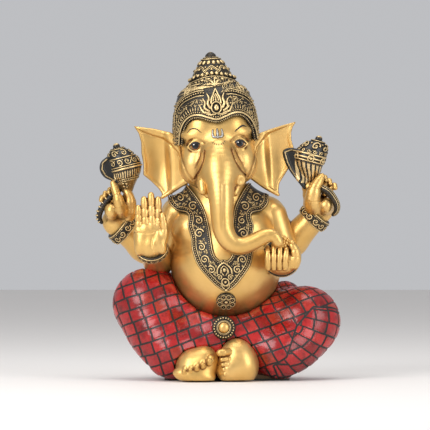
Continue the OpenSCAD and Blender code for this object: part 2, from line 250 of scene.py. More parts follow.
def make_mesh(name, points, faces, attributes=None):
    """A mesh object in metres from points in millimetres, shaded smooth."""
    mesh = bpy.data.meshes.new(name)
    mesh.from_pydata((np.asarray(points) * MM).tolist(), [],
                     faces if isinstance(faces, list) else faces.tolist())
    mesh.polygons.foreach_set("use_smooth", np.ones(len(mesh.polygons), bool))
    for key, values in (attributes or {}).items():
        layer = mesh.attributes.new(key, "FLOAT", "POINT")
        layer.data.foreach_set("value", np.asarray(values, np.float32))
    mesh.update()
    obj = bpy.data.objects.new(name, mesh)
    bpy.context.scene.collection.objects.link(obj)
    return obj


def place(obj, material, slot, replaced=()):
    """Gives a finished piece its material and its body. The slot argument is not used."""
    obj.data.materials.append(material)
    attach(obj, "root")
    if replaced:
        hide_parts(*replaced)
    return obj


def hollows(field, points, reach):
    """How enclosed each point is by its own surface: 0 on open faces, to 1 deep in creases."""
    normals = unit(gradient(field, points, 0.3))
    seen = 0.0
    for share in (0.4, 1.0):
        d = reach * share
        seen = seen + np.clip(1 - field(points + normals * d) / d, 0, 1)
    return np.clip(seen / 2, 0, 1)


def cast(name, field, low, high, step, reach=3.0, extra=None):
    """A casting from its field: mesh, creases and any extra attributes."""
    points, quads = field_mesh(field, low, high, step * STEP)
    # crease is how enclosed each point is; the gold paint darkens by it, as painted shade
    attributes = {"crease": hollows(field, points, reach)}
    if extra:
        attributes.update(extra(points))
    return make_mesh(name, points, quads, attributes)


# ---------------------------------------------------------------- materials

def new_material(name):
    material = bpy.data.materials.new(name)
    material.use_nodes = True
    return material, material.node_tree.nodes, material.node_tree.links


def node(nodes, kind, **values):
    made = nodes.new("ShaderNode" + kind)
    for key, value in values.items():
        if key in made.inputs.keys():
            made.inputs[key].default_value = value
        else:
            setattr(made, key, value)
    return made


def ramp(nodes, links, source, stops, mode="EASE"):
    made = nodes.new("ShaderNodeValToRGB")
    made.color_ramp.interpolation = mode
    while len(made.color_ramp.elements) < len(stops):
        made.color_ramp.elements.new(0.5)
    for element, (position, colour) in zip(made.color_ramp.elements, stops):
        element.position = position
        element.color = (*colour, 1) if len(colour) == 3 else colour
    links.new(source, made.inputs[0])
    return made


def mix_colour(nodes, links, factor, a, b, blend="MIX"):
    made = nodes.new("ShaderNodeMix")
    made.data_type = "RGBA"
    made.blend_type = blend
    for socket, value in ((made.inputs[0], factor), (made.inputs[6], a), (made.inputs[7], b)):
        if hasattr(value, "is_output"):
            links.new(value, socket)
        else:
            socket.default_value = value if isinstance(value, float) else (*value, 1)
    return made.outputs[2]


def gold_material():
    """Satin gold paint: fine mottling, painted brown shade in creases that also stands for a dark wash,
    slightly uneven gloss.
    """
    material, nodes, links = new_material("gold_paint")
    shader = nodes["Principled BSDF"]
    shader.inputs["Metallic"].default_value = 0.82
    shader.inputs["Coat Weight"].default_value = 0.12
    shader.inputs["Coat Roughness"].default_value = 0.25
    crease = node(nodes, "Attribute", attribute_name="crease")
    place_node = node(nodes, "TexCoord")
    mottle = node(nodes, "TexNoise", Scale=26.0, Detail=4.0, Roughness=0.55)
    links.new(place_node.outputs["Object"], mottle.inputs["Vector"])
    base = ramp(nodes, links, mottle.outputs["Fac"],
                [(0.3, (0.66, 0.40, 0.115)), (0.7, (0.79, 0.51, 0.18))])
    # Painted shade: the colour turns dark brown where the crease value is high, standing also for a dark
    # wash.
    crease_shade = ramp(nodes, links, crease.outputs["Fac"], [(0.08, (0, 0, 0)), (0.55, (1, 1, 1))])
    colour = mix_colour(nodes, links, crease_shade.outputs["Color"], base.outputs["Color"], (0.19, 0.075, 0.016))
    links.new(colour, shader.inputs["Base Color"])
    grain = node(nodes, "TexNoise", Scale=420.0, Detail=3.0)
    links.new(place_node.outputs["Object"], grain.inputs["Vector"])
    gloss = ramp(nodes, links, grain.outputs["Fac"], [(0.25, (0.33,) * 3), (0.75, (0.43,) * 3)])
    links.new(gloss.outputs["Color"], shader.inputs["Roughness"])
    skin = node(nodes, "Bump", Strength=0.06, Distance=0.0004)
    links.new(grain.outputs["Fac"], skin.inputs["Height"])
    links.new(skin.outputs["Normal"], shader.inputs["Normal"])
    return material


GOLD = gold_material()


# ---------------------------------------------------------------- torso

def torso_field(p):
    d = egg(p, BELLY, (50, 46, 53))
    d = join(d, egg(p, at(-2, 6, SHOULDER_Z - 10), (45, 30, 31)), 12)
    d = join(d, limb(p, [at(-42, 9, SHOULDER_Z - 3), at(37, 9, SHOULDER_Z - 3)], [17, 17]), 12)
    for side in (RIGHT, LEFT):
        breast = egg(p, at(side * 23 - 5, -13, SHOULDER_Z - 15), (21, 19, 18), turned(0, side * 12, 0))
        d = join(d, breast, 4)
    d = join(d, limb(p, [at(-5, 6, SHOULDER_Z + 4), at(-8, 0, SHOULDER_Z + 26)], [29, 25]), 12)
    fold = limb(p, [at(-50, -12, 112), at(-42, -27, 113.5), at(-33, -34.5, 116)], [1.2, 1.6, 0.4])
    d = cut(d, fold, 2.5)
    return d


def torso_full(p):
    return np.maximum(torso_field(p), BELLY[2] - 50.5 - p[:, 2])


# ---------------------------------------------------------------- head

def to_head(p):
    """From the frame into the leaning head's own axes, with the middle of the face at the origin."""
    q = p - FACE
    c, s = math.cos(HEAD_LEAN), math.sin(HEAD_LEAN)
    return np.stack([q[:, 0] * c + q[:, 2] * s, q[:, 1], -q[:, 0] * s + q[:, 2] * c], -1)


def from_head(q):
    q = np.atleast_2d(np.asarray(q, float))
    c, s = math.cos(HEAD_LEAN), math.sin(HEAD_LEAN)
    return np.stack([q[:, 0] * c - q[:, 2] * s, q[:, 1], q[:, 0] * s + q[:, 2] * c], -1) + FACE


TRUNK = [
    (-7, -24, 200, 15.0), (-6.5, -38, 193, 15.8), (-5.8, -47, 184, 14.6), (-5, -54, 172, 12.3),
         (-4.2, -57, 160, 11.0),
    (-3.6, -58, 146, 10.0), (-2, -58.5, 134, 9.4), (3.5, -59.5, 124.5, 8.8), (12, -60, 120.8, 8.0),
    (22, -60.5, 123.6, 7.5), (31, -61, 128.3, 6.8), (38, -61.5, 130.4, 6.2), (43.0, -62, 128.8, 5.6),
    (46.0, -62, 124.8, 4.8)]


def trunk_shape(p):
    return sweep(p, TRUNK, 48)


def trunk_field(p):
    """The trunk, with a soft groove along its front and rings of skin near its tip."""
    line = smooth_line(TRUNK, 48)[:, :3]
    d = trunk_shape(p)
    upright = p[:, 2] - 131
    groove = 0.5 * bump((p[:, 0] - (-3.6 + 0.02 * upright)) / 2.2) * smoothstep(0, 12, upright)
    folded = 0.0
    for k, station in enumerate((39, 42, 45)):
        folded = folded + 0.35 * bump(size(p - line[station]) / 12) * bump(((p - line[station]) @ unit(
            line[station + 1] - line[station - 1])) / 0.9)
    return d + groove * (p[:, 1] < -50) + folded + 0.5 * smoothstep(176, 186, p[:, 2])


def head_skull(q):
    """The head without its crown, in the head's own axes."""
    d = egg(q, at(0, 2, 12), (34.5, 35, 38))
    for side in (RIGHT, LEFT):
        d = join(d, egg(q, at(side * 12, -16, 25), (17, 17, 17)), 10)
        d = join(d, egg(q, at(side * 20.5, -15, -7), (14.5, 18, 19), turned(0, side * -8, 0)), 7)
        d = join(d, egg(q, at(side * 19.5, -20, 18), (12, 11, 5.5), turned(0, side * -8, 0)), 5)
    d = join(d, egg(q, at(0, -8, -24), (21, 19, 12)), 8)
    return d


def tusk_field(q, side):
    """The right tusk is a rounded stub; the left one is cut off flat."""
    if side == RIGHT:
        return limb(q, [at(-14.0, -31, -17), at(-14.9, -38, -24.0), at(-14.9, -41.0, -31)], [5.0, 5.0, 4.3])
    tip = at(19.3, -40.5, -24.5)
    way = unit(at(0.42, -0.80, -0.30))
    d = limb(q, [tip - way * 14, tip + way * 3], [4.7, 4.7])
    d = cut(d, (tip - q) @ way, 0.8)
    ring = np.sqrt(np.maximum(size(np.cross(q - tip, way)) ** 2, 0))
    return d + 0.6 * bump(ring / 2.6) * bump(((q - tip) @ way) / 2)


EYES = {RIGHT: (-18.9, 8.8), LEFT: (20.3, 8.1)}


def head_core(q):
    """The head with its bridge and the muzzle that holds the tusks, before the eyes are put in."""
    d = head_skull(q)
    bridge = sweep(q, [(0.8, -20, 20, 8), (0.8, -30, 6, 11.0), (1.2, -35.0, -6, 14.0),
                       (1.8, -36.0, -16, 15.0),
                       (1.6, -33, -24, 12)], 14)
    d = join(d, bridge, 8)
    for x in (-11.5, 15.5):
        lobe = sweep(q, [(1.5, -33, -6, 9), (x * 0.6, -33, -13, 9.0), (x, -32.5, -19.5, 7.8)], 8)
        d = join(d, lobe, 5)
    return d


def front_of(field, x, z):
    """How far forward a head-frame field reaches at (x, z)."""
    point = np.array([[x, -80.0, z]])
    for _ in range(60):
        point[:, 1] += field(point) * 0.8
    return point[0, 1]


EYE_Y = {side: front_of(head_core, *EYES[side]) for side in (RIGHT, LEFT)}
EYE_RADII = (6.7, 4.6, 3.9)


def eye_centre(side):
    x, z = EYES[side]
    return at(x, EYE_Y[side] + 2.9, z)


def lid_line(side, arch):
    """Points from the outer to the inner corner of an eye, over its ball."""
    c = eye_centre(side)
    out = []
    for u in np.linspace(-1, 1, 9):
        z = arch * (1 - u * u) - 0.4
        depth = 4.9 * math.sqrt(max(0.03, 1 - 0.62 * u * u - (z / 6.5) ** 2))
        out.append(c + at(u * 6.9 * side, -depth, z))
    return np.array(out)


def head_field(p):
    q = to_head(p)
    d = join(head_core(q), trunk_shape(p) + 6 * smoothstep(178, 160, p[:, 2]), 7)
    flat = q[:, [0, 2]]
    for side in (RIGHT, LEFT):
        for arch, low, middle in ((5.2, 0.9, 1.7), (-4.2, 0.6, 0.95)):
            radii = np.interp(np.arange(9), [0, 4, 8], [low, middle, low])
            d = join(d, limb(q, lid_line(side, arch), radii), 1.3)
        dents = ([(27, 11), (22.5, 15.2), (17, 15.2), (12, 11)], 1.6, 0.7), \
            ([(12.0, 4), (13.5, -4), (17.5, -13), (22.5, -20)], 1.3, 0.9), \
            ([(15.5, 2.5), (17.5, -3), (21.5, -11)], 1.0, 0.35), \
            ([(33.0, 9), (31.5, -6), (28, -16), (24.5, -21)], 1.5, 0.8)
        for points, width, depth in dents:
            line = smooth_line(np.array(points, float) * [side, 1] + [0.8, 0], 14)
            d = d + depth * bump(polygon_line(flat, line) / width) * (q[:, 1] < -5)
        d = join(d, limb(q, [at(side * 17 + 1, -25, -25), at(side * 12 + 1, -31, -35)], [4.4, 3.4]), 2.5)
    return np.maximum(d, FACE[2] - 48 - p[:, 2])


# ---------------------------------------------------------------- ears

EAR_SWEEP = math.radians(8)
EAR_T = 3.0
EAR_OUTLINES = {
    RIGHT: [(24, -18), (25, 8), (30, 17), (41.4, 23.2), (56, 27.6), (74.4, 31.3), (70.2, 24), (68.6, 16),
            (69, 6),
            (68, -3.6), (68.7, -13.6), (62, -20.2), (56.1, -26.9), (53.6, -31), (53.2, -36.4),
            (44.7, -31.5), (28, -24)],
    LEFT: [(24, -14), (25, 8), (29, 14), (38.9, 16.8), (48.9, 19.7), (60.6, 22.5), (74.0, 25.2),
           (70, 20), (68.4, 15),
           (68.2, 8.6), (69.9, 0.4), (64.2, -17), (54.8, -29.8), (53.8, -35), (53.5, -41.5), (40, -33.5),
           (24, -20)]}
EAR_CREASES = {
    RIGHT: [(67.5, 25.4), (57.6, 20.7), (48.7, 17.3), (41.8, 12.2), (36, 4.4), (32.2, -6), (30, -16.2)],
    LEFT: [(70.5, 22.9), (57.4, 18.6), (48.6, 15.5), (42.4, 10.7), (36.7, 4.2), (34.5, -1.5),
           (33.2, -8.3), (31, -16)]}
EAR_LOWER = {RIGHT: [(29.4, -20.5), (43.1, -29.5), (53.0, -34.8)],
             LEFT: [(29.2, -21.0), (42.5, -32.4), (52.6, -39.6)]}


def ear_frame(p, side):
    q = to_head(p)
    u, v = q[:, 0] * side, q[:, 1] - 1
    c, s = math.cos(EAR_SWEEP), math.sin(EAR_SWEEP)
    return np.stack([u * c + v * s, -u * s + v * c, q[:, 2]], -1)


def ear_middle(u, w):
    """How far behind the ear's own plane its sheet lies: cupped, with the outer corner brought forward."""
    cup = 4.0 * bump((u - 52) / 20) * bump((w + 4) / 34) * smoothstep(38, 50, u)
    return 2.0 + cup - 3.5 * smoothstep(54, 76, u)


def ear_field(p, side):
    q = ear_frame(p, side)
    u, w = q[:, 0], q[:, 2]
    flat = q[:, [0, 2]]
    outline = polygon(flat, EAR_OUTLINES[side])
    crease = np.array(EAR_CREASES[side])
    roll = polygon(flat, [*crease, (14, -16), (14, 45), (90, 45)])
    middle = ear_middle(u, w)
    raised = 1.5 * smoothstep(0.6, -2.4, roll)
    rim = 0.5 * bump((outline + 2.0) / 2.0) * smoothstep(36, 46, u)
    root = 2.2 * smoothstep(49, 42, u)
    sheet = np.abs(q[:, 1] - middle + raised * 0.6) - EAR_T / 2 - rim - root - raised * 0.6
    d = -join(-(outline + 0.2), -sheet, 1.6)
    lower = smooth_line([(a, ear_middle(a, b) - 1.2, b) for a, b in EAR_LOWER[side]], 14)
    d = join(d, limb(q, lower, np.linspace(2.6, 1.5, 14)), 1.0)
    return d + 0.5 * bump(roll / 1.1) * (q[:, 1] < middle) * smoothstep(72, 66, u)


def polygon_line(p2, points):
    """Distance to an open line in the plane."""
    d = np.full(len(p2), 1e9)
    for a, b in zip(points[:-1], points[1:]):
        e, w = b - a, p2 - a
        t = np.clip(w @ e / max(e @ e, 1e-9), 0, 1)
        d = np.minimum(d, size(w - t[:, None] * e))
    return d


# ---------------------------------------------------------------- arms and hands

ARMS = {
    "rear_right": (at(-41, 16, SHOULDER_Z), at(-71, 18, 117), (14, 13.8, 11)),
    "rear_left": (at(36, 16, SHOULDER_Z), at(57, 17, 121), (14, 13.8, 11.4)),
    "front_right": (at(-44, 3, SHOULDER_Z - 3), at(-60, 2, 106), (14, 13.5, 12)),
    "front_left": (at(42, 3, SHOULDER_Z - 3), at(53, 1, 114), (13, 12.5, 13.5)),
}


def arm_field(p, name):
    shoulder, elbow, (ra, rb, rc) = ARMS[name]
    wrist = WRISTS[name]
    upper, lower = (shoulder + elbow) / 2, (elbow + wrist) / 2
    stations = [(*shoulder, ra), (*upper, ra - 0.6), (*elbow, rb), (*lower, (rb + rc) / 2 + 0.3),
                (*wrist, rc)]
    return sweep(p, stations, 18)


def hand_side(p, name):
    """Signed distance to the plane across a wrist: negative on the hand's side."""
    shoulder, elbow, _ = ARMS[name]
    wrist = WRISTS[name]
    return (p - wrist) @ -unit(wrist - elbow)


def finger(p, points, radii, grooves=0.0, k=0.7):
    """A finger as one pad to each bone, with a groove across its front at each joint."""
    d = None
    for a, b, ra, rb in zip(points[:-1], points[1:], radii[:-1], radii[1:]):
        pad = sweep(p, [(*(a + (b - a) * 0.08), ra * 0.92), (*((a + b) / 2), (ra + rb) / 2 * 1.06),
                        (*(b - (b - a) * 0.05), rb * 0.94)], 5)
        d = pad if d is None else join(d, pad, k)
    for before, joint, after in zip(points[:-2], points[1:-1], points[2:]):
        way = unit(after - before)
        along = (p - joint) @ way
        d = d + grooves * bump(along / 0.9) * (size(p - joint) < 8) * (p[:, 1] < joint[1] + 1)
    return d


def line_dent(p, points, width, depth):
    """A crease across a surface that faces forwards, from its (x, z) points."""
    line = smooth_line(points, 12)
    return depth * bump(polygon_line(p[:, [0, 2]], line) / width)


def palm_field(p):
    """The open blessing hand, palm forwards."""
    w0 = WRISTS["front_right"] + at(-1.6, 0, -7.5)
    tips = [(-10.8, 45.0), (-5.8, 52.5), (0.4, 56.2), (6.8, 52.5)]
    roots = [(-10.4, 27), (-4.4, 28.5), (1.6, 28.5), (7.4, 27.5)]
    radii = [3.1, 3.4, 3.5, 3.3]
    d = limb(p, [w0 + Y * 8 + Z * 6, w0 + at(0, -2, 9)], [10.5, 9.5])
    d = join(d, egg(p, w0 + at(-0.5, -5, 20), (14.6, 7.2, 14.5)), 5)
    d = join(d, egg(p, w0 + at(0.5, -5, 10), (11.5, 8.0, 9.5)), 5)
    for (x, z), r in zip(roots, radii):
        d = join(d, ball(p, w0 + at(x, -6.5, z - 2), r + 0.9), 2.5)
    d = join(d, egg(p, w0 + at(8.6, -8.5, 14), (5.2, 5.0, 11.5), turned(0, -14, 0)), 2.6)
    d = join(d, egg(p, w0 + at(-9.2, -7, 13), (4.8, 4.8, 11), turned(0, 8, 0)), 4)
    for (x, z), (tx, tz), r in zip(roots, tips, radii):
        a, b = w0 + at(x, -6.8, z - 1), w0 + at(tx, -8.0, tz)
        joints = [a, a + (b - a) * 0.34, a + (b - a) * 0.66, b]
        d = join(d, finger(p, joints, [r + 0.4, r + 0.3, r, r - 0.5], 0.5), 0.6)
    thumb = [w0 + at(11.2, -8, 15), w0 + at(12.6, -10, 26), w0 + at(11.6, -11.5, 33),
             w0 + at(10.6, -12, 38.5)]
    d = join(d, finger(p, thumb, [4.4, 3.7, 3.2, 2.3], 0.3), 1.6)
    palm_front = p[:, 1] < w0[1] - 5
    creases = line_dent(p, w0[[0, 2]] + np.array([(-14, 22.6), (-7, 21.8), (0, 22.0), (8, 24.6)]), 1.1,
                        0.45)
    creases = creases + line_dent(p,
                                  w0[[0, 2]] + np.array([(5.5, 22.5), (3.0, 18), (2.0, 12), (3.0, 6)]),
                                  1.3, 0.5)
    return d + creases * palm_front


def cupped_field(p):
    """The hand that holds the sweets: four fingers stand up in front of them."""
    w = WRISTS["front_left"]
    h = w + at(-1, -15, 0)
    d = join(limb(p, [w + Y * 4, h + at(1, 2, -1)], [12.6, 13.2]),
             egg(p, h + at(1, -1, -2), (15, 11, 13)), 4)
    d = cut(d, egg(p, h + at(0, -2, 14), (11, 8, 8)), 3)
    for x, top, lean in ((-11.0, 9.5, -0.4), (-6.0, 12.5, 0.0), (-1.0, 12.0, 0.4), (4.0, 9.5, 0.8)):
        joints = [h + at(x, -9.0, -9.5), h + at(x, -12.6, -2.5), h + at(x + lean, -12.4, 4.5),
                  h + at(x + lean, -9.5, top)]
        d = join(d, finger(p, joints, [2.9, 2.9, 2.7, 2.1], 0.3, 0.5), 0.35)
    thumb = [h + at(11.5, -5, -6), h + at(13.5, -8, 2), h + at(12.2, -9, 8), h + at(9.5, -9.5, 12)]
    return join(d, finger(p, thumb, [6.0, 5.0, 4.0, 2.8], 0.3), 1.6)


FISTS = {
    RIGHT: {"thumb": [(-93, 0, 150), (-95.5, -7, 156), (-98, -7.5, 166), (-102, -5, 177)],
            "thumb_r": [6.5, 5.4, 4.0, 2.5],
            "back": [(-88, 5, 146), (-86.5, 2, 155), (-86.5, 0, 163), (-90, 0, 170)],
            "back_r": [7.5, 6.4, 4.6, 3.0],
            "heel": (-103, -3, 151), "knobs": [(-111.5, 2, 162.6), (-108.5, 3, 166.3), (-104.5, 4, 169.5)]},
    LEFT: {"thumb": [(79, 0, 154), (77.5, -7, 162), (80, -8, 173), (86.5, -6, 183)],
           "thumb_r": [8, 7.4, 5.4, 3.0],
           "back": [(80, 6, 152), (78, 4, 162), (76, 2, 170), (74, 1, 176)], "back_r": [9.5, 8.6, 6.6, 3.6],
           "heel": (90, -2, 156), "knobs": [(97.5, 0, 173.5), (93, 1, 177.5), (89, 2, 180.5)]}}


def fist_field(p, name, side):
    """A raised hand that pinches the conch's point. Its other fingers curl away behind the tail."""
    w = WRISTS[name]
    up = unit(w - ARMS[name][1])
    shape = FISTS[side]
    conch = cad_box("right_conch" if side == RIGHT else "left_conch")
    point = at(-87.5 if side == RIGHT else 72.5, (conch[0][1] + conch[1][1]) / 2, conch[0][2])
    d = limb(p, [w - up * 5, w + up * 6], [11.6, 10.4])
    d = join(d, egg(p, w + up * 11, (9.5, 8.5, 10.0), turned(0, side * 10, 0)), 6)
    d = join(d, egg(p, np.array(shape["heel"], float), (6.4, 7.0, 7.4), turned(0, side * 14, 0)), 6)
    d = join(d, finger(p, np.array(shape["back"], float), shape["back_r"], 0.0), 4)
    d = join(d, limb(p, [w + up * 14, point + Z * 1.5], [7.0, 4.0]), 3)
    d = join(d, finger(p, np.array(shape["thumb"], float), shape["thumb_r"], 0.3), 2.2)
    for knob in np.array(shape["knobs"], float):
        root = knob + at(-side * 8, 1, -7)
        d = join(d, limb(p, [root, knob + at(0, 0, 0.8), knob + at(side * 0.8, -3.0, -1.6)],
                         [3.2, 2.6, 2.1]), 0.8)
    return d


# ---------------------------------------------------------------- feet

def right_foot_field(p):
    """The figure's right foot: its toes face forwards."""
    c = cad_centre("right_foot")
    o = at(c[0], c[1], CAST_Z)
    d = egg(p, o + at(0, 1, 11), (18.5, 17, 17), turned(0, 14, 0))
    d = join(d, egg(p, o + at(8, -1, 17), (11, 13, 13)), 6)
    d = join(d, egg(p, o + at(-2, -8, 4.5), (19, 10, 8), turned(0, 8, 0)), 4)
    toes = [(-10.6, 7.6, 2.4), (-5.2, 8.8, 2.6), (0.4, 10.8, 2.7), (6.0, 13.2, 2.9), (11.8, 16.6, 3.5)]
    for x, z, r in toes:
        back = at(x + 1.5, -8, z + 4)
        tip = at(x, -17 + 0.10 * abs(x), z)
        d = join(d, limb(p, [o + back, o + (back + tip) / 2 + at(0, -1.5, 0.8)], [r, r + 0.1]), 0.8)
        d = join(d, limb(p, [o + (back + tip) / 2 + at(0, -3, -0.6), o + tip], [r, r - 0.2]), 0.5)
        nail = egg(p, o + tip + at(0, -0.9 * r, 1.3), (r * 0.62, 0.7, r * 0.55))
        d = join(d, nail, 0.2)
    return np.maximum(d, CAST_Z - p[:, 2])


def left_foot_field(p):
    """The figure's left foot lies on its side: its toes are stacked at its inner edge."""
    c = cad_centre("left_foot")
    o = at(c[0], c[1], CAST_Z)
    d = egg(p, o + at(3.5, 1, 16), (16.5, 16, 21), turned(0, -10, 0))
    d = join(d, egg(p, o + at(8, 2, 12), (13, 15, 15)), 6)
    d = join(d, egg(p, o + at(-4, -5, 9), (12, 12, 12)), 5)
    toes = [(-12.5, 24.5, 3.5), (-10.6, 18.6, 2.5), (-9.8, 14.2, 2.4), (-9.0, 9.9, 2.3), (-8.0, 5.8, 2.2)]
    for x, z, r in toes:
        root = at(x + 7, -11.0, z + 0.6)
        tip = at(x, -15.0, z)
        middle = root + (tip - root) * 0.55 + at(0, -1.2, 0)
        d = join(d, limb(p, [o + root, o + middle], [r, r + 0.15]), 0.7)
        d = join(d, limb(p, [o + middle + at(-1.6, 0.2, 0), o + tip], [r, r - 0.2]), 0.4)
    return np.maximum(d, CAST_Z - p[:, 2])


# ---------------------------------------------------------------- dhoti

def dhoti_solid(p):
    knee_r = at(-70, -5, 68)
    knee_l = at(71, -5, 52)
    d = sweep(p, [(-24, 8, 60, 33), (-50, 2, 66, 31), (*knee_r, 30.5)], 10)
    d = join(d, sweep(p, [(*knee_r, 30.5), (-62, -16, 46, 28), (-48, -28, 26, 25)], 10), 6)
    d = join(d, sweep(p, [(26, 8, 47, 34), (50, 2, 50, 31), (*knee_l, 30.5)], 10), 6)
    d = join(d, sweep(p, [(*knee_l, 30.5), (62, -16, 36, 27), (48, -27, 25.5, 24.5)], 10), 6)
    d = join(d, egg(p, at(0, 8, 34), (70, 41, 52)), 10)
    d = join(d, egg(p, at(0, -22, 36), (50, 24, 30)), 12)
    d = join(d, egg(p, at(53, 15, 70), (17, 16, 18)), 6)
    return d


# ---------------------------------------------------------------- relief: beads, threads and scrolls

def unit_ball(detail):
    mesh = bmesh.new()
    bmesh.ops.create_icosphere(mesh, subdivisions=detail, radius=1)
    points = np.array([v.co[:] for v in mesh.verts])
    faces = [[v.index for v in f.verts] for f in mesh.faces]
    mesh.free()
    return points, np.array(faces)


BALLS = {detail: unit_ball(detail) for detail in (1, 2, 3)}


class Pile:
    """Gathers many small shapes into one mesh. Each point keeps its relief: 0 at the foot, 1 at the top."""

    def __init__(self):
        self.points, self.faces, self.relief, self.count = [], [], [], 0

    def add(self, points, faces, relief):
        self.points.append(points)
        self.faces.extend((np.asarray(faces) + self.count).tolist())
        self.relief.append(relief)
        self.count += len(points)

    def beads(self, centres, normals, radius, detail=1):
        shape, faces = BALLS[detail]
        centres, normals = np.atleast_2d(centres), np.atleast_2d(normals)
        normals = np.broadcast_to(normals, centres.shape)
        radii = np.broadcast_to(radius, len(centres))
        points = centres[:, None] + shape[None] * radii[:, None, None]
        every = (faces[None] + np.arange(len(centres))[:, None, None] * len(shape)).reshape(-1, 3)
        self.add(points.reshape(-1, 3), every, (0.5 + 0.5 * normals @ shape.T).ravel())

    def dome(self, centre, normal, radii, detail=2):
        """A ball stretched along its surface and across it: radii are (along, up, across)."""
        shape, faces = BALLS[detail]
        side = unit(np.cross(normal, X if abs(normal[2]) > 0.9 else Z))
        axes = np.stack([side, normal, np.cross(normal, side)])
        self.add(centre + (shape * radii) @ axes, faces, 0.5 + 0.5 * shape[:, 1])

    def thread(self, line, normals, radii, sides=6, flat=1.0, closed=False):
        """A round thread laid along a line on a surface. Open ends close to a point."""
        n = len(line)
        radii = np.broadcast_to(radii, n)
        if closed:
            along = unit(np.roll(line, -1, 0) - np.roll(line, 1, 0))
        else:
            along = unit(np.gradient(line, axis=0))
        across = unit(np.cross(normals, along))
        up = np.cross(along, across)
        angle = np.arange(sides) / sides * 2 * math.pi
        ring = np.cos(angle)[None, :, None] * across[:, None] + np.sin(angle)[None, :, None] * up[:,
                                                                                                  None] * flat
        points = (line[:, None] + ring * radii[:, None, None]).reshape(-1, 3)
        relief = np.tile(0.5 + 0.5 * np.sin(angle), n)
        rows = n if closed else n - 1
        i, j = np.meshgrid(np.arange(rows), np.arange(sides), indexing="ij")
        i2, j2 = (i + 1) % n, (j + 1) % sides
        quads = np.stack([i * sides + j, i * sides + j2, i2 * sides + j2, i2 * sides + j],
                         -1).reshape(-1, 4)
        if closed:
            self.add(points, quads, relief)
            return
        tips = np.stack([line[0] - along[0] * radii[0], line[-1] + along[-1] * radii[-1]])
        start, last = n * sides, (n - 1) * sides
        caps = [[start, (k + 1) % sides, k] for k in range(sides)]
        caps += [[start + 1, last + k, last + (k + 1) % sides] for k in range(sides)]
        self.faces.extend((np.asarray(caps) + self.count).tolist())
        self.add(np.vstack([points, tips]), quads, np.append(relief, [0.5, 0.5]))

    def finish(self, name, material, slot, replaced=()):
        obj = make_mesh(name, np.vstack(self.points), self.faces, {"relief": np.concatenate(self.relief)})
        return place(obj, material, slot, replaced)


class Lathe:
    """A turned surface: places on it by angle or arc length from its front, and by height along its axis."""

    def __init__(self, origin, axes, profile, bow=None):
        self.origin, self.axes, self.bow = origin, axes, bow
        self.r, self.t = np.array(profile, float).T

    def radius(self, t):
        return np.interp(t, self.t, self.r)

    def by_angle(self, angle, t, lift=0.0):
        angle, t = np.broadcast_arrays(np.asarray(angle, float), np.asarray(t, float))
        slope = (self.radius(t + 0.5) - self.radius(t - 0.5))
        sin, cos, r = np.sin(angle), np.cos(angle), self.radius(t)
        normal = unit(np.stack([sin, -cos, -slope], -1)) @ self.axes.T
        bowed = 0 if self.bow is None else self.bow(t)
        where = self.origin + np.stack([r * sin + bowed, -r * cos, t], -1) @ self.axes.T
        return where + normal * lift, normal

    def __call__(self, st, lift=0.0):
        st = np.atleast_2d(st)
        return self.by_angle(st[:, 0] / np.maximum(self.radius(st[:, 1]), 1.0), st[:, 1], lift)


def spiral(centre, reach, turns, start, sense=1, n=16, tight=0.2):
    """A flat scroll that winds in from its reach to its eye."""
    t = np.linspace(0, 1, n)
    r = reach * (1 - (1 - tight) * t)
    a = start + sense * 2 * math.pi * turns * t
    return np.stack([centre[0] + r * np.cos(a), centre[1] + r * np.sin(a)], -1)


def lay(pile, surface, line, radius, lift=0.25, sides=6, flat=1.0, closed=False):
    """Lays a flat line on a surface as a thread."""
    points, normals = surface(line, lift)
    pile.thread(points, normals, radius, sides, flat, closed)


def lay_scroll(pile, surface, centre, reach, start, sense=1, radius=0.75, turns=1.45):
    """One bold scroll with a bead for its eye."""
    line = spiral(centre, reach, turns, start, sense, 26, 0.16)
    lay(pile, surface, line, np.linspace(radius, radius * 0.6, 26), radius * 0.4, 6)
    points, normals = surface(np.array([centre]), radius * 0.5)
    pile.beads(points, normals, radius * 1.05, 1)


def scroll_band(pile, surface, path, reach, spacing, radius=0.7, sense=1):
    """Scrolls turned alternately to the left and right of a path, each with three leaves."""
    length = np.concatenate([[0], np.cumsum(size(np.diff(path, axis=0)))])
    count = max(1, int(round(length[-1] / spacing)))
    where = (np.arange(count) + 0.5) * length[-1] / count
    centres = np.stack([np.interp(where, length, path[:, k]) for k in (0, 1)], -1)
    ahead = unit(np.stack([np.interp(where + 0.5, length, path[:, k]) - np.interp(where - 0.5, length,
                                                                                  path[:, k])
                           for k in (0, 1)], -1))
    for k, (c, a) in enumerate(zip(centres, ahead)):
        flip = sense * (1 if k % 2 else -1)
        start = math.atan2(a[1], a[0]) + flip * 1.9
        lay_scroll(pile, surface, c, reach, start, flip, radius)
        side = np.array([-a[1], a[0]]) * flip
        for turn in (-0.55, 0.0, 0.55):
            leaf = np.array([c + side * reach * 1.15 + a * turn * reach,
                             c + side * reach * 1.6 + a * (turn * 1.5 - 0.1) * reach,
                             c + side * reach * 1.95 + a * (turn * 2.3) * reach])
            lay(pile, surface, smooth_line(leaf, 6), np.array([0.9, 1.0, 0.95, 0.8, 0.6, 0.3]) * radius,
                0.2, 5)


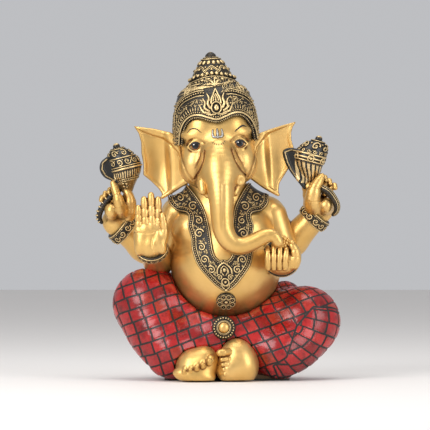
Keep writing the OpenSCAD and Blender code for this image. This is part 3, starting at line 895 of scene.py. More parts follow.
def filigree(pile, surface, low, high, pitch, seed, keep=None, radius=0.5, reach=0.42):
    """A field of small commas, C-scrolls and seeds that fills the ground between the bold shapes."""
    r = np.random.default_rng(seed)
    row = 0
    t = low[1]
    while t <= high[1]:
        s = low[0] + (row % 2) * pitch / 2
        while s <= high[0]:
            centre = np.array([s, t]) + r.uniform(-0.16, 0.16, 2) * pitch
            start, sense, kind = r.uniform(0, 6.28), r.choice([-1, 1]), r.uniform()
            if keep is None or keep(centre[None])[0]:
                if kind < 0.78:
                    line = spiral(centre, pitch * reach * r.uniform(0.9, 1.2), r.uniform(0.6, 1.0),
                                  start, sense, 9, 0.3)
                    lay(pile, surface, line, np.linspace(1.15, 0.7, 9) * radius, 0.2, 5)
                else:
                    points, normals = surface(centre[None], 0.2)
                    pile.beads(points, normals, radius * 1.6, 1)
            s += pitch
        t += pitch * 0.87
        row += 1


def bead_row(pile, surface, path, radius, spacing=2.1, lift=0.3, closed=False):
    """Beads at even distances along a path. The spacing is in bead radii."""
    length = np.concatenate([[0], np.cumsum(size(np.diff(path, axis=0)))])
    count = max(2, int(round(length[-1] / (radius * spacing))) + (0 if closed else 1))
    where = np.linspace(0, length[-1], count, endpoint=not closed)
    places = np.stack([np.interp(where, length, path[:, k]) for k in (0, 1)], -1)
    points, normals = surface(places, lift * radius)
    pile.beads(points, normals, radius, 1 if radius < 1.4 else 2)


def tracer(field, near_y, offset=0.0, far_y=60.0):
    """A surface seen from the front: from (x, z) to the field, walking back from near_y as far as far_y."""
    def surface(xz, lift=0.0):
        xz = np.atleast_2d(xz)
        p = np.stack([xz[:, 0], np.full(len(xz), float(near_y)), xz[:, 1]], -1)
        for _ in range(40):
            p[:, 1] += np.clip(field(p) - offset, -6, 6) * 0.8
        p[:, 1] = np.minimum(p[:, 1], far_y)
        normals = unit(gradient(field, p, 0.4))
        return p + normals * lift, normals
    return surface


# ---------------------------------------------------------------- materials of the ornament and the cloth

def antique_material():
    """Black ground with dull gold rubbed over its high points."""
    material, nodes, links = new_material("antique_paint")
    shader = nodes["Principled BSDF"]
    relief = node(nodes, "Attribute", attribute_name="relief")
    coords = node(nodes, "TexCoord")
    worn = node(nodes, "TexNoise", Scale=900.0, Detail=3.0)
    links.new(coords.outputs["Object"], worn.inputs["Vector"])
    spread = node(nodes, "Math", operation="MULTIPLY_ADD")
    links.new(worn.outputs["Fac"], spread.inputs[0])
    spread.inputs[1].default_value = 0.3
    links.new(relief.outputs["Fac"], spread.inputs[2])
    gold = ramp(nodes, links, spread.outputs[0],
                [(0.80, (0.010, 0.009, 0.007)), (0.97, (0.26, 0.165, 0.06)), (1.08, (0.74, 0.55, 0.27))])
    links.new(gold.outputs["Color"], shader.inputs["Base Color"])
    metal = ramp(nodes, links, spread.outputs[0], [(0.80, (0.1,) * 3), (1.0, (0.8,) * 3)])
    links.new(metal.outputs["Color"], shader.inputs["Metallic"])
    shader.inputs["Roughness"].default_value = 0.36
    return material


def ground_material():
    """The dark ground under the ornament, with a little gold caught on its grain."""
    material, nodes, links = new_material("antique_ground")
    shader = nodes["Principled BSDF"]
    coords = node(nodes, "TexCoord")
    grain = node(nodes, "TexNoise", Scale=1300.0, Detail=3.0)
    links.new(coords.outputs["Object"], grain.inputs["Vector"])
    colour = ramp(nodes, links, grain.outputs["Fac"],
                  [(0.5, (0.010, 0.009, 0.007)), (0.72, (0.13, 0.085, 0.035))])
    links.new(colour.outputs["Color"], shader.inputs["Base Color"])
    shader.inputs["Roughness"].default_value = 0.45
    shader.inputs["Metallic"].default_value = 0.3
    skin = node(nodes, "Bump", Strength=0.4, Distance=0.0004)
    links.new(grain.outputs["Fac"], skin.inputs["Height"])
    links.new(skin.outputs["Normal"], shader.inputs["Normal"])
    return material


def plain_material(name, colour, roughness, metallic=0.0, grain_scale=300.0, shift=0.15):
    """One colour with a slight grain."""
    material, nodes, links = new_material(name)
    shader = nodes["Principled BSDF"]
    coords = node(nodes, "TexCoord")
    grain = node(nodes, "TexNoise", Scale=grain_scale, Detail=3.0)
    links.new(coords.outputs["Object"], grain.inputs["Vector"])
    low, high = [tuple(c * (1 + s) for c in colour) for s in (-shift, shift)]
    tone = ramp(nodes, links, grain.outputs["Fac"], [(0.3, low), (0.7, high)])
    links.new(tone.outputs["Color"], shader.inputs["Base Color"])
    shader.inputs["Roughness"].default_value = roughness
    shader.inputs["Metallic"].default_value = metallic
    return material


def tile_material():
    """Red lacquered tiles parted by black grooves. Each tile has its own red."""
    material, nodes, links = new_material("red_paint")
    shader = nodes["Principled BSDF"]

    def math_node(operation, a, b=None, c=None):
        made = node(nodes, "Math", operation=operation)
        for socket, value in zip(made.inputs, (a, b, c)):
            if value is None:
                continue
            if hasattr(value, "is_output"):
                links.new(value, socket)
            else:
                socket.default_value = value
        return made.outputs[0]

    u = node(nodes, "Attribute", attribute_name="tile_u").outputs["Fac"]
    v = node(nodes, "Attribute", attribute_name="tile_v").outputs["Fac"]
    seam = node(nodes, "Attribute", attribute_name="tile_seam").outputs["Fac"]
    row = math_node("FLOOR", v)
    slip = math_node("MULTIPLY", math_node("SINE", math_node("MULTIPLY", row, TILE_SLIP_RATE)), TILE_SLIP)
    across = math_node("ADD", u, slip)
    column = math_node("FLOOR", across)

    def to_line(value):
        return math_node("SUBTRACT", 0.5,
                         math_node("ABSOLUTE", math_node("SUBTRACT", math_node("FRACT", value), 0.5)))

    nearest = math_node("MINIMUM", to_line(across), to_line(v))
    nearest = math_node("MINIMUM", nearest, seam)
    coords = node(nodes, "TexCoord")
    ragged = node(nodes, "TexNoise", Scale=260.0, Detail=2.0)
    links.new(coords.outputs["Object"], ragged.inputs["Vector"])
    edge = math_node("ADD", nearest,
                     math_node("MULTIPLY", math_node("SUBTRACT", ragged.outputs["Fac"], 0.5), 0.03))
    tile = ramp(nodes, links, edge, [(TILE_GROOVE * 0.75, (0, 0, 0)), (TILE_GROOVE * 1.25, (1, 1, 1))],
                "LINEAR")
    own = node(nodes, "TexWhiteNoise", noise_dimensions="2D")
    both = node(nodes, "CombineXYZ")
    links.new(row, both.inputs[0])
    links.new(column, both.inputs[1])
    links.new(both.outputs[0], own.inputs["Vector"])
    reds = ramp(nodes, links, own.outputs["Value"],
                [(0.0, (0.25, 0.008, 0.008)), (0.45, (0.38, 0.011, 0.012)), (0.8, (0.47, 0.018, 0.016)),
                 (1.0, (0.34, 0.030, 0.014))])
    cloud = node(nodes, "TexNoise", Scale=110.0, Detail=5.0, Roughness=0.65)
    links.new(coords.outputs["Object"], cloud.inputs["Vector"])
    shade = ramp(nodes, links, cloud.outputs["Fac"], [(0.42, (1, 1, 1)), (0.68, (0.35, 0.30, 0.25))])
    cloudy = mix_colour(nodes, links, 0.75, reds.outputs["Color"], shade.outputs["Color"], "MULTIPLY")
    colour = mix_colour(nodes, links, tile.outputs["Color"], (0.008, 0.007, 0.006), cloudy)
    links.new(colour, shader.inputs["Base Color"])
    gloss = ramp(nodes, links, tile.outputs["Color"], [(0.0, (0.5,) * 3), (1.0, (0.24,) * 3)])
    links.new(gloss.outputs["Color"], shader.inputs["Roughness"])
    height = ramp(nodes, links, edge, [(0.0, (0, 0, 0)), (TILE_GROOVE * 2.4, (1, 1, 1))])
    rough = math_node("ADD", height.outputs["Color"], math_node("MULTIPLY", cloud.outputs["Fac"], 0.35))
    skin = node(nodes, "Bump", Strength=0.7, Distance=0.0007)
    links.new(rough, skin.inputs["Height"])
    links.new(skin.outputs["Normal"], shader.inputs["Normal"])
    return material


TILE_U, TILE_V = 11.5, 10.8
TILE_GROOVE = 0.075
TILE_SLIP, TILE_SLIP_RATE = 0.10, 2.3

ANTIQUE = antique_material()
GROUND = ground_material()
TILES = tile_material()
BLACK = plain_material("eye_black", (0.006, 0.006, 0.006), 0.12)
# White of the small bead on each iris: a painted highlight.
WHITE = plain_material("eye_glint", (0.9, 0.9, 0.88), 0.3)
CREAM = plain_material("eye_cream", (0.62, 0.46, 0.22), 0.35, 0.2)
SILVER = plain_material("trident_silver", (0.42, 0.41, 0.38), 0.35, 0.7)
AMBER = plain_material("iris_amber", (0.35, 0.13, 0.02), 0.25)
INK = plain_material("brow_ink", (0.012, 0.010, 0.008), 0.4)


# ---------------------------------------------------------------- crown

HEAD_AXES = turned(0, -4, 0)
CROWN = [(38.4, -6), (38.4, 26), (37.0, 37), (35.8, 43), (34.2, 48.5), (32.2, 54), (28.5, 58.8),
         (23.6, 62.2), (20.6, 65.7)]
FINIAL = [(20.6, 65.7), (19, 69), (17.2, 71), (16, 75.5), (13.6, 77.5), (12.2, 81), (10.2, 82.5),
          (8.6, 86), (5.2, 87.5),
          (4.6, 90), (2.2, 92), (0.1, 92.6)]
HEM = [(0, 28.2), (8, 30.4), (13, 32.4), (18.5, 33.1), (22.5, 32.2), (26, 28.8), (28.8, 23.5),
       (30.4, 17), (31.4, 10)]
RIM = [(0, 31.2), (8, 33.6), (13, 35.6), (18.5, 36.4), (23.2, 35.4), (27.8, 32.0), (31.2, 26.8),
       (33.4, 20), (34.6, 11)]
HEM_Z = 11.0
CREST_X = 1.6


def mirrored(points, shift=CREST_X):
    """A half outline and its mirror image, from one side to the other."""
    half = np.array(points, float)
    left = half[:0:-1] * [-1, 1]
    return np.vstack([left, half]) + [shift, 0]


def crown_field(p):
    q = to_head(p)
    radial = np.sqrt(q[:, 0] ** 2 + q[:, 1] ** 2)
    outline = [(-30, -6)] + CROWN + FINIAL[1:] + [(-30, 92.6)]
    d = polygon(np.stack([radial, q[:, 2]], -1), outline)
    window = polygon(q[:, [0, 2]], [*mirrored(HEM), (40, -20), (-40, -20)])
    d = cut(d, np.maximum(window, q[:, 1]), 0.8)
    d = np.maximum(d, HEM_Z - q[:, 2])
    return np.maximum(d, 0.3 - head_skull(q))


def around_crown(lathe, line):
    """A line seen from the front, (x, z), wrapped onto the crown as (arc length, z)."""
    line = np.asarray(line, float)
    r = lathe.radius(line[:, 1])
    return np.stack([r * np.arcsin(np.clip(line[:, 0] / r, -0.999, 0.999)), line[:, 1]], -1)


def crown_ring(pile, lathe, height, radius, count, lift=0.3, detail=2):
    """Beads around the crown at a height that may change with the angle."""
    angle = np.arange(count) / count * 2 * math.pi
    points, normals = lathe.by_angle(angle, height(angle), lift * radius)
    pile.beads(points, normals, radius, detail)


def crown_thread(pile, lathe, height, radius, n=96, lift=0.3):
    angle = np.arange(n) / n * 2 * math.pi
    points, normals = lathe.by_angle(angle, height(angle), lift * radius)
    pile.thread(points, normals, radius, 6, closed=True)


def build_crown():
    low, high = box_of("crown", 4)
    high[2] = cad_box("crown_finial")[1][2] + 3
    points, quads = field_mesh(crown_field, low, high, 0.85 * STEP)
    place(make_mesh("crown_shell", points, quads), GROUND, "antique_paint", ["crown", "crown_finial"])
    lathe = Lathe(FACE, HEAD_AXES, CROWN + FINIAL[1:])
    build_crown_tip(lathe)
    build_crown_bands(lathe)
    build_crown_crest(lathe)


def build_crown_tip(lathe):
    pile = Pile()
    axis = HEAD_AXES[:, 2]
    pile.beads(FACE + axis * 89.6, axis, 3.0, 3)
    crown_ring(pile, lathe, lambda a: 87.0 + 0 * a, 0.8, 28, 0.2, 1)
    crown_thread(pile, lathe, lambda a: 85.8 + 0 * a, 0.6)
    for k in range(15):
        angle = (k + 0.5) / 15 * 2 * math.pi
        centre, normal = lathe.by_angle(np.array([angle]), np.array([82.4]))
        pile.dome(centre[0], normal[0], np.array([2.0, 1.7, 3.1]))
    crown_thread(pile, lathe, lambda a: 75.2 + 4.2 * np.abs(np.cos(a * 4)), 0.6, 220)
    crown_thread(pile, lathe, lambda a: 73.8 + 4.2 * np.abs(np.cos(a * 4)), 0.4, 220)
    for k in range(8):
        angle = (k + 0.5) / 8 * 2 * math.pi
        centre, normal = lathe.by_angle(np.array([angle]), np.array([78.4]), 0.3)
        pile.beads(centre, normal, 1.3, 1)
        centre, normal = lathe.by_angle(np.array([k / 8 * 2 * math.pi]), np.array([76.2]), 0.3)
        pile.dome(centre[0], normal[0], np.array([1.2, 0.9, 1.6]))
    crown_ring(pile, lathe, lambda a: 67.7 + 5.1 * np.cos(a) ** 2, 1.95, 26, 0.35, 2)
    crown_thread(pile, lathe, lambda a: 65.0 + 5.1 * np.cos(a) ** 2, 0.5, 120)
    for k in range(20):
        angle = (k + 0.5) / 20 * 2 * math.pi
        height = 63.0 + 5.0 * math.cos(angle) ** 2
        centre, normal = lathe.by_angle(np.array([angle]), np.array([height]), 0.1)
        pile.dome(centre[0], normal[0], np.array([1.9, 0.9, 1.0]))
    pile.finish("crown_tip_ornament", ANTIQUE, "antique_paint")


ARCH = [(10.2, 55.2), (16, 55.2), (22.8, 53.7), (29.5, 51.6), (35, 49.2), (40.5, 45.8), (44.5, 41.5),
        (46.5, 35),
        (47.4, 29), (48.5, 20), (49, 12)]


def offset_line(line, amount):
    """A flat line moved sideways."""
    along = unit(np.gradient(line, axis=0))
    return line + np.stack([-along[:, 1], along[:, 0]], -1) * amount


def arch_top(s):
    """The height of the bead arches at an arc length from the crest's middle."""
    return np.interp(s, [p[0] for p in ARCH[:8]], [p[1] for p in ARCH[:8]])


def build_crown_bands(lathe):
    pile = Pile()
    rim = around_crown(lathe, smooth_line(mirrored(RIM), 90))
    lay(pile, lathe, rim, 1.0, 0.5, 8)
    hem = around_crown(lathe, smooth_line(mirrored(HEM), 90))
    bead_row(pile, lathe, (hem + rim * 0.35) / 1.35, 0.8, 2.3, 0.5)
    bead_row(pile, lathe, offset_line(rim, 2.2), 0.9, 2.35, 0.4)
    leaves, tips = offset_line(rim, 3.6), offset_line(rim, 7.0)
    for k in range(2, len(leaves) - 2, 2):
        if abs(leaves[k, 0] - CREST_X) > 6:
            leaf = smooth_line(np.array([leaves[k], (leaves[k] + tips[k]) / 2, tips[k]]), 5)
            lay(pile, lathe, leaf, np.array([0.5, 0.7, 0.6, 0.45, 0.2]), 0.2, 5)
    for side in (RIGHT, LEFT):
        arch = smooth_line(np.array(ARCH), 60) * [side, 1] + [CREST_X, 0]
        for shift, radius in ((-2.2, 0.5), (2.2, 0.6), (3.8, 0.35)):
            lay(pile, lathe, offset_line(arch, shift * side), radius)
        bead_row(pile, lathe, arch, 1.1, 2.25, 0.4)
        oval_angle = np.arange(26) / 26 * 2 * math.pi
        for scale, radius in ((1.0, 0.6), (0.62, 0.45)):
            across, up = 3.1 * scale * np.cos(oval_angle), 4.6 * scale * np.sin(oval_angle)
            oval = np.stack([side * (28 + across - 0.35 * up) + CREST_X, 58.6 + up], -1)
            lay(pile, lathe, oval, radius, 0.2, 6, closed=True)
        centre, normal = lathe(np.array([[side * 28.0 + CREST_X, 58.6]]), 0.0)
        pile.dome(centre[0], normal[0], np.array([1.0, 0.8, 2.0]))
    for height, radius in ((13.2, 0.9), (18.2, 0.6), (43.5, 0.6), (48.5, 0.5)):
        s = np.radians(np.linspace(68, 292, 90)) * lathe.radius(height)
        lay(pile, lathe, np.stack([s, np.full(90, float(height))], -1), radius)
    for height in (15.7, 46.0):
        s = np.radians(np.linspace(68, 292, 90)) * lathe.radius(height)
        bead_row(pile, lathe, np.stack([s, np.full(90, height)], -1), 1.05, 2.3)
    turn = np.linspace(16, 344, 90)
    ring = np.array([[math.radians(a) * 27.5, 58.6 + 2.2 * math.cos(math.radians(a)) ** 2] for a in turn])
    for start, stop in ((0, 34), (36, 90)):
        scroll_band(pile, lathe, ring[start:stop], 2.9, 7.4, 0.5)
    pile.finish("crown_bands", ANTIQUE, "antique_paint")

    ground = Pile()

    def inside_arch(st):
        s = np.abs((st[:, 0] + 119) % 238 - 119 - CREST_X)
        rim_z = np.interp(s, [p[0] * 1.12 for p in RIM], [p[1] + 7.5 for p in RIM])
        front = (st[:, 1] < arch_top(s) - 4.4) & (st[:, 1] > rim_z) & (s > 11)
        return np.where(s < 46, front, (st[:, 1] < 41) & (st[:, 1] > 21) & (s > 52))

    filigree(ground, lathe, (-118, 16), (118, 54), 3.0, 3, inside_arch, 0.42)
    filigree(ground, lathe, (-62, 70), (62, 74.0), 2.3, 9, None, 0.38)
    filigree(ground, lathe, (-60, 65.5), (60, 69.5), 2.4, 12, lambda st: np.abs(st[:, 0]) < 14, 0.4)
    ground.finish("crown_filigree", ANTIQUE, "antique_paint")


def build_crown_crest(lathe):
    pile = Pile()
    gem, normal = lathe(np.array([[CREST_X + 0.3, 41.4]]), 1.6)
    pile.dome(gem[0], normal[0], np.array([2.5, 1.7, 3.2]), 3)

    def leaf(points, radii, lift=0.8):
        line = smooth_line(np.array(points, float) + [CREST_X + 0.3, 0], 14)
        lay(pile, lathe, line, np.interp(np.linspace(0, 1, 14), np.linspace(0, 1, len(radii)), radii),
            lift, 6)

    ring = np.stack([CREST_X + 0.3 + 4.3 * np.cos(np.linspace(0, 2 * math.pi, 28, endpoint=False)),
                     41.6 + 5.0 * np.sin(np.linspace(0, 2 * math.pi, 28, endpoint=False))], -1)
    lay(pile, lathe, ring, 0.75, 1.0, 6, closed=True)
    for side in (RIGHT, LEFT):
        leaf([(side * 4.2, 45), (side * 3.6, 50), (side * 1.4, 54.5), (0, 58.5)], [1.0, 1.1, 0.9, 0.5], 1.2)
        leaf([(side * 2.2, 47.5), (side * 1.8, 50.5), (0, 54)], [0.7, 0.7, 0.4], 1.0)
        leaf([(side * 5.2, 41), (side * 7.2, 45.5), (side * 6.0, 50), (side * 7.6, 54.5)],
             [1.2, 1.7, 1.2, 0.4], 1.0)
        leaf([(side * 6.0, 38.5), (side * 10.2, 42), (side * 9.6, 46.5), (side * 11.8, 50.5)],
             [1.1, 1.5, 1.1, 0.4], 0.9)
        leaf([(side * 5.5, 36.8), (side * 11.0, 38), (side * 13.2, 41), (side * 15.4, 45.5)],
             [0.9, 1.2, 1.0, 0.4], 0.8)
        leaf([(side * 1.0, 36.0), (side * 5.0, 35.6), (side * 8.5, 36.4)], [0.8, 0.9, 0.5], 0.6)
        leaf([(side * 0.6, 61.0), (side * 3.2, 62.2), (side * 6.4, 61.8), (side * 8.2, 63.6)],
             [0.7, 1.1, 0.9, 0.4])
        leaf([(side * 0.4, 61.5), (side * 2.6, 64.6), (side * 5.2, 66.2)], [0.8, 1.2, 0.4])
    leaf([(0, 60), (0, 64), (0, 67.4)], [0.8, 1.3, 0.5])
    leaf([(0, 47.6), (0, 50), (0, 52.2)], [0.9, 0.7, 0.3], 1.0)
    pile.finish("crown_crest_leaf", ANTIQUE, "antique_paint", ["crown_crest"])


# ---------------------------------------------------------------- necklace, pendant and rosette

COLLAR_OUT = [(46, 166), (44.5, 158), (38, 151.5), (29.5, 149.5), (28.2, 145), (29.8, 139), (28.5, 133),
              (27.4, 127),
              (27.8, 120), (26.5, 112), (23.5, 103), (17, 94), (9, 85), (3, 80.6)]
COLLAR_IN = [(1, 108.5), (4, 108.2), (8, 114), (9.2, 126), (10.2, 138), (13.5, 154), (20, 166), (28, 177)]
COLLAR_THICK = 2.3
COLLAR_FOOT = 81
COLLAR_BACK = 4


def to_collar(xz):
    """Sideways distance from the collar's slightly leaning middle line, and the height."""
    return np.stack([xz[:, 0] + 0.085 * (xz[:, 1] - COLLAR_FOOT), xz[:, 1]], -1)


def from_collar(uz):
    uz = np.atleast_2d(np.asarray(uz, float))
    return np.stack([uz[:, 0] - 0.085 * (uz[:, 1] - COLLAR_FOOT), uz[:, 1]], -1)


def collar_outline():
    outer = smooth_line(np.array(COLLAR_OUT), 40)
    inner = smooth_line(np.array(COLLAR_IN), 24)
    return outer, inner


def collar_field(p):
    outer, inner = collar_outline()
    u = to_collar(p[:, [0, 2]])
    u[:, 0] = np.abs(u[:, 0])
    flat = polygon(u, np.vstack([outer, [(0, outer[-1, 1])], [(0, inner[0, 1])], inner]))
    body = torso_field(p)
    plate = np.maximum(body - COLLAR_THICK, -0.6 - body)
    d = -join(-flat, -plate, 1.2)
    return np.maximum(d, p[:, 1] - COLLAR_BACK)


def build_necklace():
    low, high = box_of("necklace", 5)
    points, quads = field_mesh(collar_field, low, high, 0.62 * STEP)
    place(make_mesh("necklace_plate", points, quads), GROUND, "antique_paint", ["necklace"])
    surface = tracer(torso_field, -75, COLLAR_THICK, COLLAR_BACK)
    outer, inner = collar_outline()
    pile, ground = Pile(), Pile()
    for side in (RIGHT, LEFT):
        def on_side(uz, lift=0.0):
            uz = np.atleast_2d(uz)
            return surface(from_collar(uz * [side, 1]), lift)

        edge = offset_line(outer, -1.0)
        lay(pile, on_side, edge, 0.55, 0.1, 5)
        bead_row(pile, on_side, offset_line(outer, -2.9), 0.85, 2.3, 0.4)
        lay(pile, on_side, offset_line(outer, -4.5), 0.5, 0.1, 5)
        inside = offset_line(inner, -0.9)
        lay(pile, on_side, inside, 0.55, 0.1, 5)
        bead_row(pile, on_side, offset_line(inner, -2.5), 0.7, 2.4, 0.4)
        big = [(34, 163, 4.0, 0.4, 1), (23.0, 155.5, 4.2, 2.4, -1), (19.2, 143, 3.6, 1.2, 1),
               (19.5, 131.5, 4.4, 2.8, -1),
               (18.5, 119.5, 3.6, 0.9, 1), (16.6, 108.5, 4.0, 3.6, -1), (11.5, 99.5, 3.6, 0.9, 1)]
        for u, z, reach, start, sense in big:
            lay_scroll(pile, on_side, (u, z), reach, start, sense, 0.75)
        def keep(uz):
            flat = polygon(uz, np.vstack([outer, [(0, outer[-1, 1])], [(0, inner[0, 1])], inner]))
            clear = np.ones(len(uz), bool)
            for u, z, reach, start, sense in big:
                clear &= size(uz - [u, z]) > reach + 0.9
            clear &= size((uz - [0, 93]) / [7.5, 13]) > 1
            return (flat < -4.9) & clear & (uz[:, 0] > 0.8)

        filigree(ground, on_side, (0, 82), (46, 178), 2.35, 11 + side, keep, 0.42)
    centre = tracer(torso_field, -75, COLLAR_THICK, COLLAR_BACK)

    def middle(uz, lift=0.0):
        return centre(from_collar(uz), lift)

    arch = smooth_line(np.array([(-6.5, 96), (-5.5, 101), (0, 105.5), (5.5, 101), (6.5, 96)]), 20)
    lay(pile, middle, arch, 0.85, 0.5)
    inner_arch = smooth_line(np.array([(-3.6, 96.5), (-3.0, 100), (0, 102.8), (3.0, 100), (3.6, 96.5)]), 16)
    lay(pile, middle, inner_arch, 0.5, 0.4)
    gem, normal = middle(np.array([(0, 99.3)]), 0.7)
    pile.dome(gem[0], normal[0], np.array([1.5, 1.3, 2.3]))
    for side in (RIGHT, LEFT):
        lay_scroll(pile, middle, (side * 4.8, 92.8), 2.6, 1.57 - side * 1.2, side, 0.6)
        lay(pile, middle, smooth_line(np.array([(side * 0.8, 94.5), (side * 2.6, 97),
                                                (side * 2.2, 99.5)]), 8), 0.5, 0.3)
        lay(pile, middle, smooth_line(np.array([(side * 3.8, 87.4), (side * 2.8, 84.0),
                                                (side * 1.0, 81.6)]), 8), 0.6, 0.3)
    ring = np.stack([3.1 * np.cos(np.linspace(0, 2 * math.pi, 22, endpoint=False)),
                     88.6 + 3.1 * np.sin(np.linspace(0, 2 * math.pi, 22, endpoint=False))], -1)
    lay(pile, middle, ring, 0.7, 0.5, closed=True)
    gem, normal = middle(np.array([(0, 88.6)]), 0.1)
    pile.beads(gem, normal, 1.5, 2)
    link, normal = middle(np.array([(0, 81.6)]), 0.8)
    pile.beads(link, normal, 1.7, 2)
    pile.finish("necklace_relief", ANTIQUE, "antique_paint")
    ground.finish("necklace_filigree", ANTIQUE, "antique_paint")


def disc_surface(centre, normal):
    side = unit(np.cross(np.array([0, 0, 1.0]), normal))
    up = np.cross(normal, side)

    def surface(st, lift=0.0):
        st = np.atleast_2d(st)
        return centre + st[:, :1] * side + st[:, 1:] * up + normal * lift, np.tile(normal, (len(st), 1))
    return surface


def circle(radius, n=32, centre=(0, 0)):
    a = np.arange(n) / n * 2 * math.pi
    return np.stack([centre[0] + radius * np.cos(a), centre[1] + radius * np.sin(a)], -1)


def disc_mesh(pile, surface, profile, sides=48):
    """A turned disc on a surface, from (radius, lift) pairs."""
    rings = []
    for radius, lift in profile:
        points, _ = surface(circle(max(radius, 0.01), sides), lift)
        rings.append(points)
    points = np.concatenate(rings)
    n = len(profile)
    i, j = np.meshgrid(np.arange(n - 1), np.arange(sides), indexing="ij")
    j2 = (j + 1) % sides
    quads = np.stack([i * sides + j, (i + 1) * sides + j, (i + 1) * sides + j2, i * sides + j2],
                     -1).reshape(-1, 4)
    pile.add(points, quads, np.zeros(len(points)))


def build_pendant():
    low, high = cad_box("pendant")
    middle = (low + high) / 2
    trace = tracer(torso_field, -75, 0)
    spot, normal = trace(np.array([[middle[0], middle[2]]]))
    normal = unit(normal[0])
    surface = disc_surface(spot[0] + normal * 1.4, normal)
    plate = Pile()
    disc_mesh(plate, surface, [(0, -3.5), (8.2, -3.5), (8.9, -1.5), (8.6, 0.0), (8.0, 0.6), (0, 0.8)])
    plate.finish("pendant_plate", GROUND, "antique_paint", ["pendant"])
    pile = Pile()
    for k in range(8):
        a = (k + 0.5) / 8 * 2 * math.pi
        c = (6.0 * math.cos(a), 6.0 * math.sin(a))
        lay(pile, surface, circle(2.1, 14, c), 0.6, 0.9, 5, closed=True)
        points, normals = surface(np.array([c]), 0.7)
        pile.beads(points, normals, 0.7, 1)
    lay(pile, surface, circle(3.1, 24), 0.55, 0.9, 5, closed=True)
    points, normals = surface(np.array([(0, 0)]), 0.9)
    pile.dome(points[0], normals[0], np.array([1.9, 1.5, 1.9]))
    bead_row(pile, surface, np.vstack([circle(8.5, 40), circle(8.5, 40)[:1]]), 0.55, 2.6, 0.2)
    pile.finish("pendant_relief", ANTIQUE, "antique_paint")


def build_rosette():
    low, high = cad_box("waist_rosette")
    centre = at((low[0] + high[0]) / 2, low[1] + 2.0, (low[2] + high[2]) / 2)
    surface = disc_surface(centre, unit(at(0, -1, 0.05)))
    plate = Pile()
    disc_mesh(plate, surface, [(0, -6), (9.6, -6), (10.6, -2.5), (10.4, -0.6), (9.4, 0.3), (6.8, 0.2),
                               (6.2, 0.9), (0, 1.2)])
    plate.finish("rosette_plate", GROUND, "antique_paint", ["waist_rosette"])
    pile = Pile()
    disc_row = np.vstack([circle(8.7, 48), circle(8.7, 48)[:1]])
    bead_row(pile, surface, disc_row, 1.0, 2.35, 0.5)
    small = np.vstack([circle(6.4, 40), circle(6.4, 40)[:1]])
    bead_row(pile, surface, small, 0.5, 2.2, 1.2)
    lay(pile, surface, circle(5.6, 36), 0.45, 1.1, 5, closed=True)
    pile.finish("rosette_beads", ANTIQUE, "antique_paint")
    dome = Pile()
    points, normals = surface(np.array([(0, 0)]), 0.6)
    dome.dome(points[0], normals[0], np.array([4.9, 3.4, 4.9]), 3)
    dome.finish("rosette_boss", GOLD, "gold_paint")


# ---------------------------------------------------------------- bracelets

def arm_axis(name):
    if name == "front_right":
        return unit(at(-0.1, -0.82, 0.57))
    return unit(WRISTS[name] - ARMS[name][1])


def axes_along(axis):
    """Axes whose third points along the given one and whose second points away from the viewer."""
    side = unit(np.cross(Y, axis))
    return np.stack([side, np.cross(axis, side), axis], -1)


BRACELETS = {
    "rear_right": (13.4, 5.2, 3.3), "rear_left": (13.2, 5.2, 3.3),
    "front_right": (13.4, 2.9, 2.2), "front_left": (16.6, 2.9, 2.2)}


def build_bracelets():
    for name, (radius, half, scroll) in BRACELETS.items():
        axes = axes_along(arm_axis(name))
        profile = [(radius - 3.0, -half), (radius, -half + 0.2), (radius + 0.7, -half * 0.5),
                   (radius + 0.8, 0),
                   (radius + 0.7, half * 0.5), (radius, half - 0.2), (radius - 3.0, half)]
        lathe = Lathe(WRISTS[name], axes, profile)
        band = Pile()
        band_mesh(band, lathe, profile)
        band.finish(name + "_bracelet_band", GROUND, "antique_paint", [name + "_bracelet"])
        pile = Pile()
        round_length = 2 * math.pi * (radius + 0.7)
        for t in (-half + 0.7, half - 0.7):
            angle = np.arange(72) / 72 * 2 * math.pi
            points, normals = lathe.by_angle(angle, np.full(72, t), 0.2)
            pile.thread(points, normals, 0.65, 6, closed=True)
        count = int(round_length / (scroll * 2.15))
        for k in range(count):
            s = (k + 0.5) / count * round_length - round_length / 2
            if half > 4:
                lay_scroll(pile, lathe, (s, 0), scroll * 0.92, k % 2 * 3.14, 1 if k % 2 else -1, 0.75, 1.3)
                for t in (-half + 2.0, half - 2.0):
                    points, normals = lathe(np.array([(s + scroll, t)]), 0.3)
                    pile.beads(points, normals, 0.8, 1)
            else:
                lay_scroll(pile, lathe, (s, 0), scroll * 0.7, k % 2 * 3.14, 1 if k % 2 else -1, 0.5, 1.0)
        for t in (-half + 1.9, half - 1.9):
            bead_row(pile, lathe, np.stack([np.linspace(-round_length / 2, round_length / 2, 60),
                                            np.full(60, t)], -1), 0.5, 2.4, 0.3)
        pile.finish(name + "_bracelet_relief", ANTIQUE, "antique_paint")


def band_mesh(pile, lathe, profile, sides=72):
    """A closed turned band from its outer profile; its inside is flat."""
    angle = np.arange(sides) / sides * 2 * math.pi
    rings = [lathe.origin + np.stack([r * np.sin(angle), -r * np.cos(angle), np.full(sides, t)],
                                     -1) @ lathe.axes.T
             for r, t in profile]
    n = len(profile)
    i, j = np.meshgrid(np.arange(n), np.arange(sides), indexing="ij")
    i2, j2 = (i + 1) % n, (j + 1) % sides
    quads = np.stack([i * sides + j, i * sides + j2, i2 * sides + j2, i2 * sides + j], -1).reshape(-1, 4)
    pile.add(np.concatenate(rings), quads, np.zeros(n * sides))


# ---------------------------------------------------------------- conches and their tails

CONCH = [(0.2, 0), (2.6, 1), (5.4, 5), (8.9, 11), (12.2, 18), (13.8, 24), (14.3, 28), (13.9, 31.5),
         (12.6, 35), (11, 38.5),
         (8.8, 41.5), (6.2, 43.6), (3.6, 45), (0.2, 46.5)]


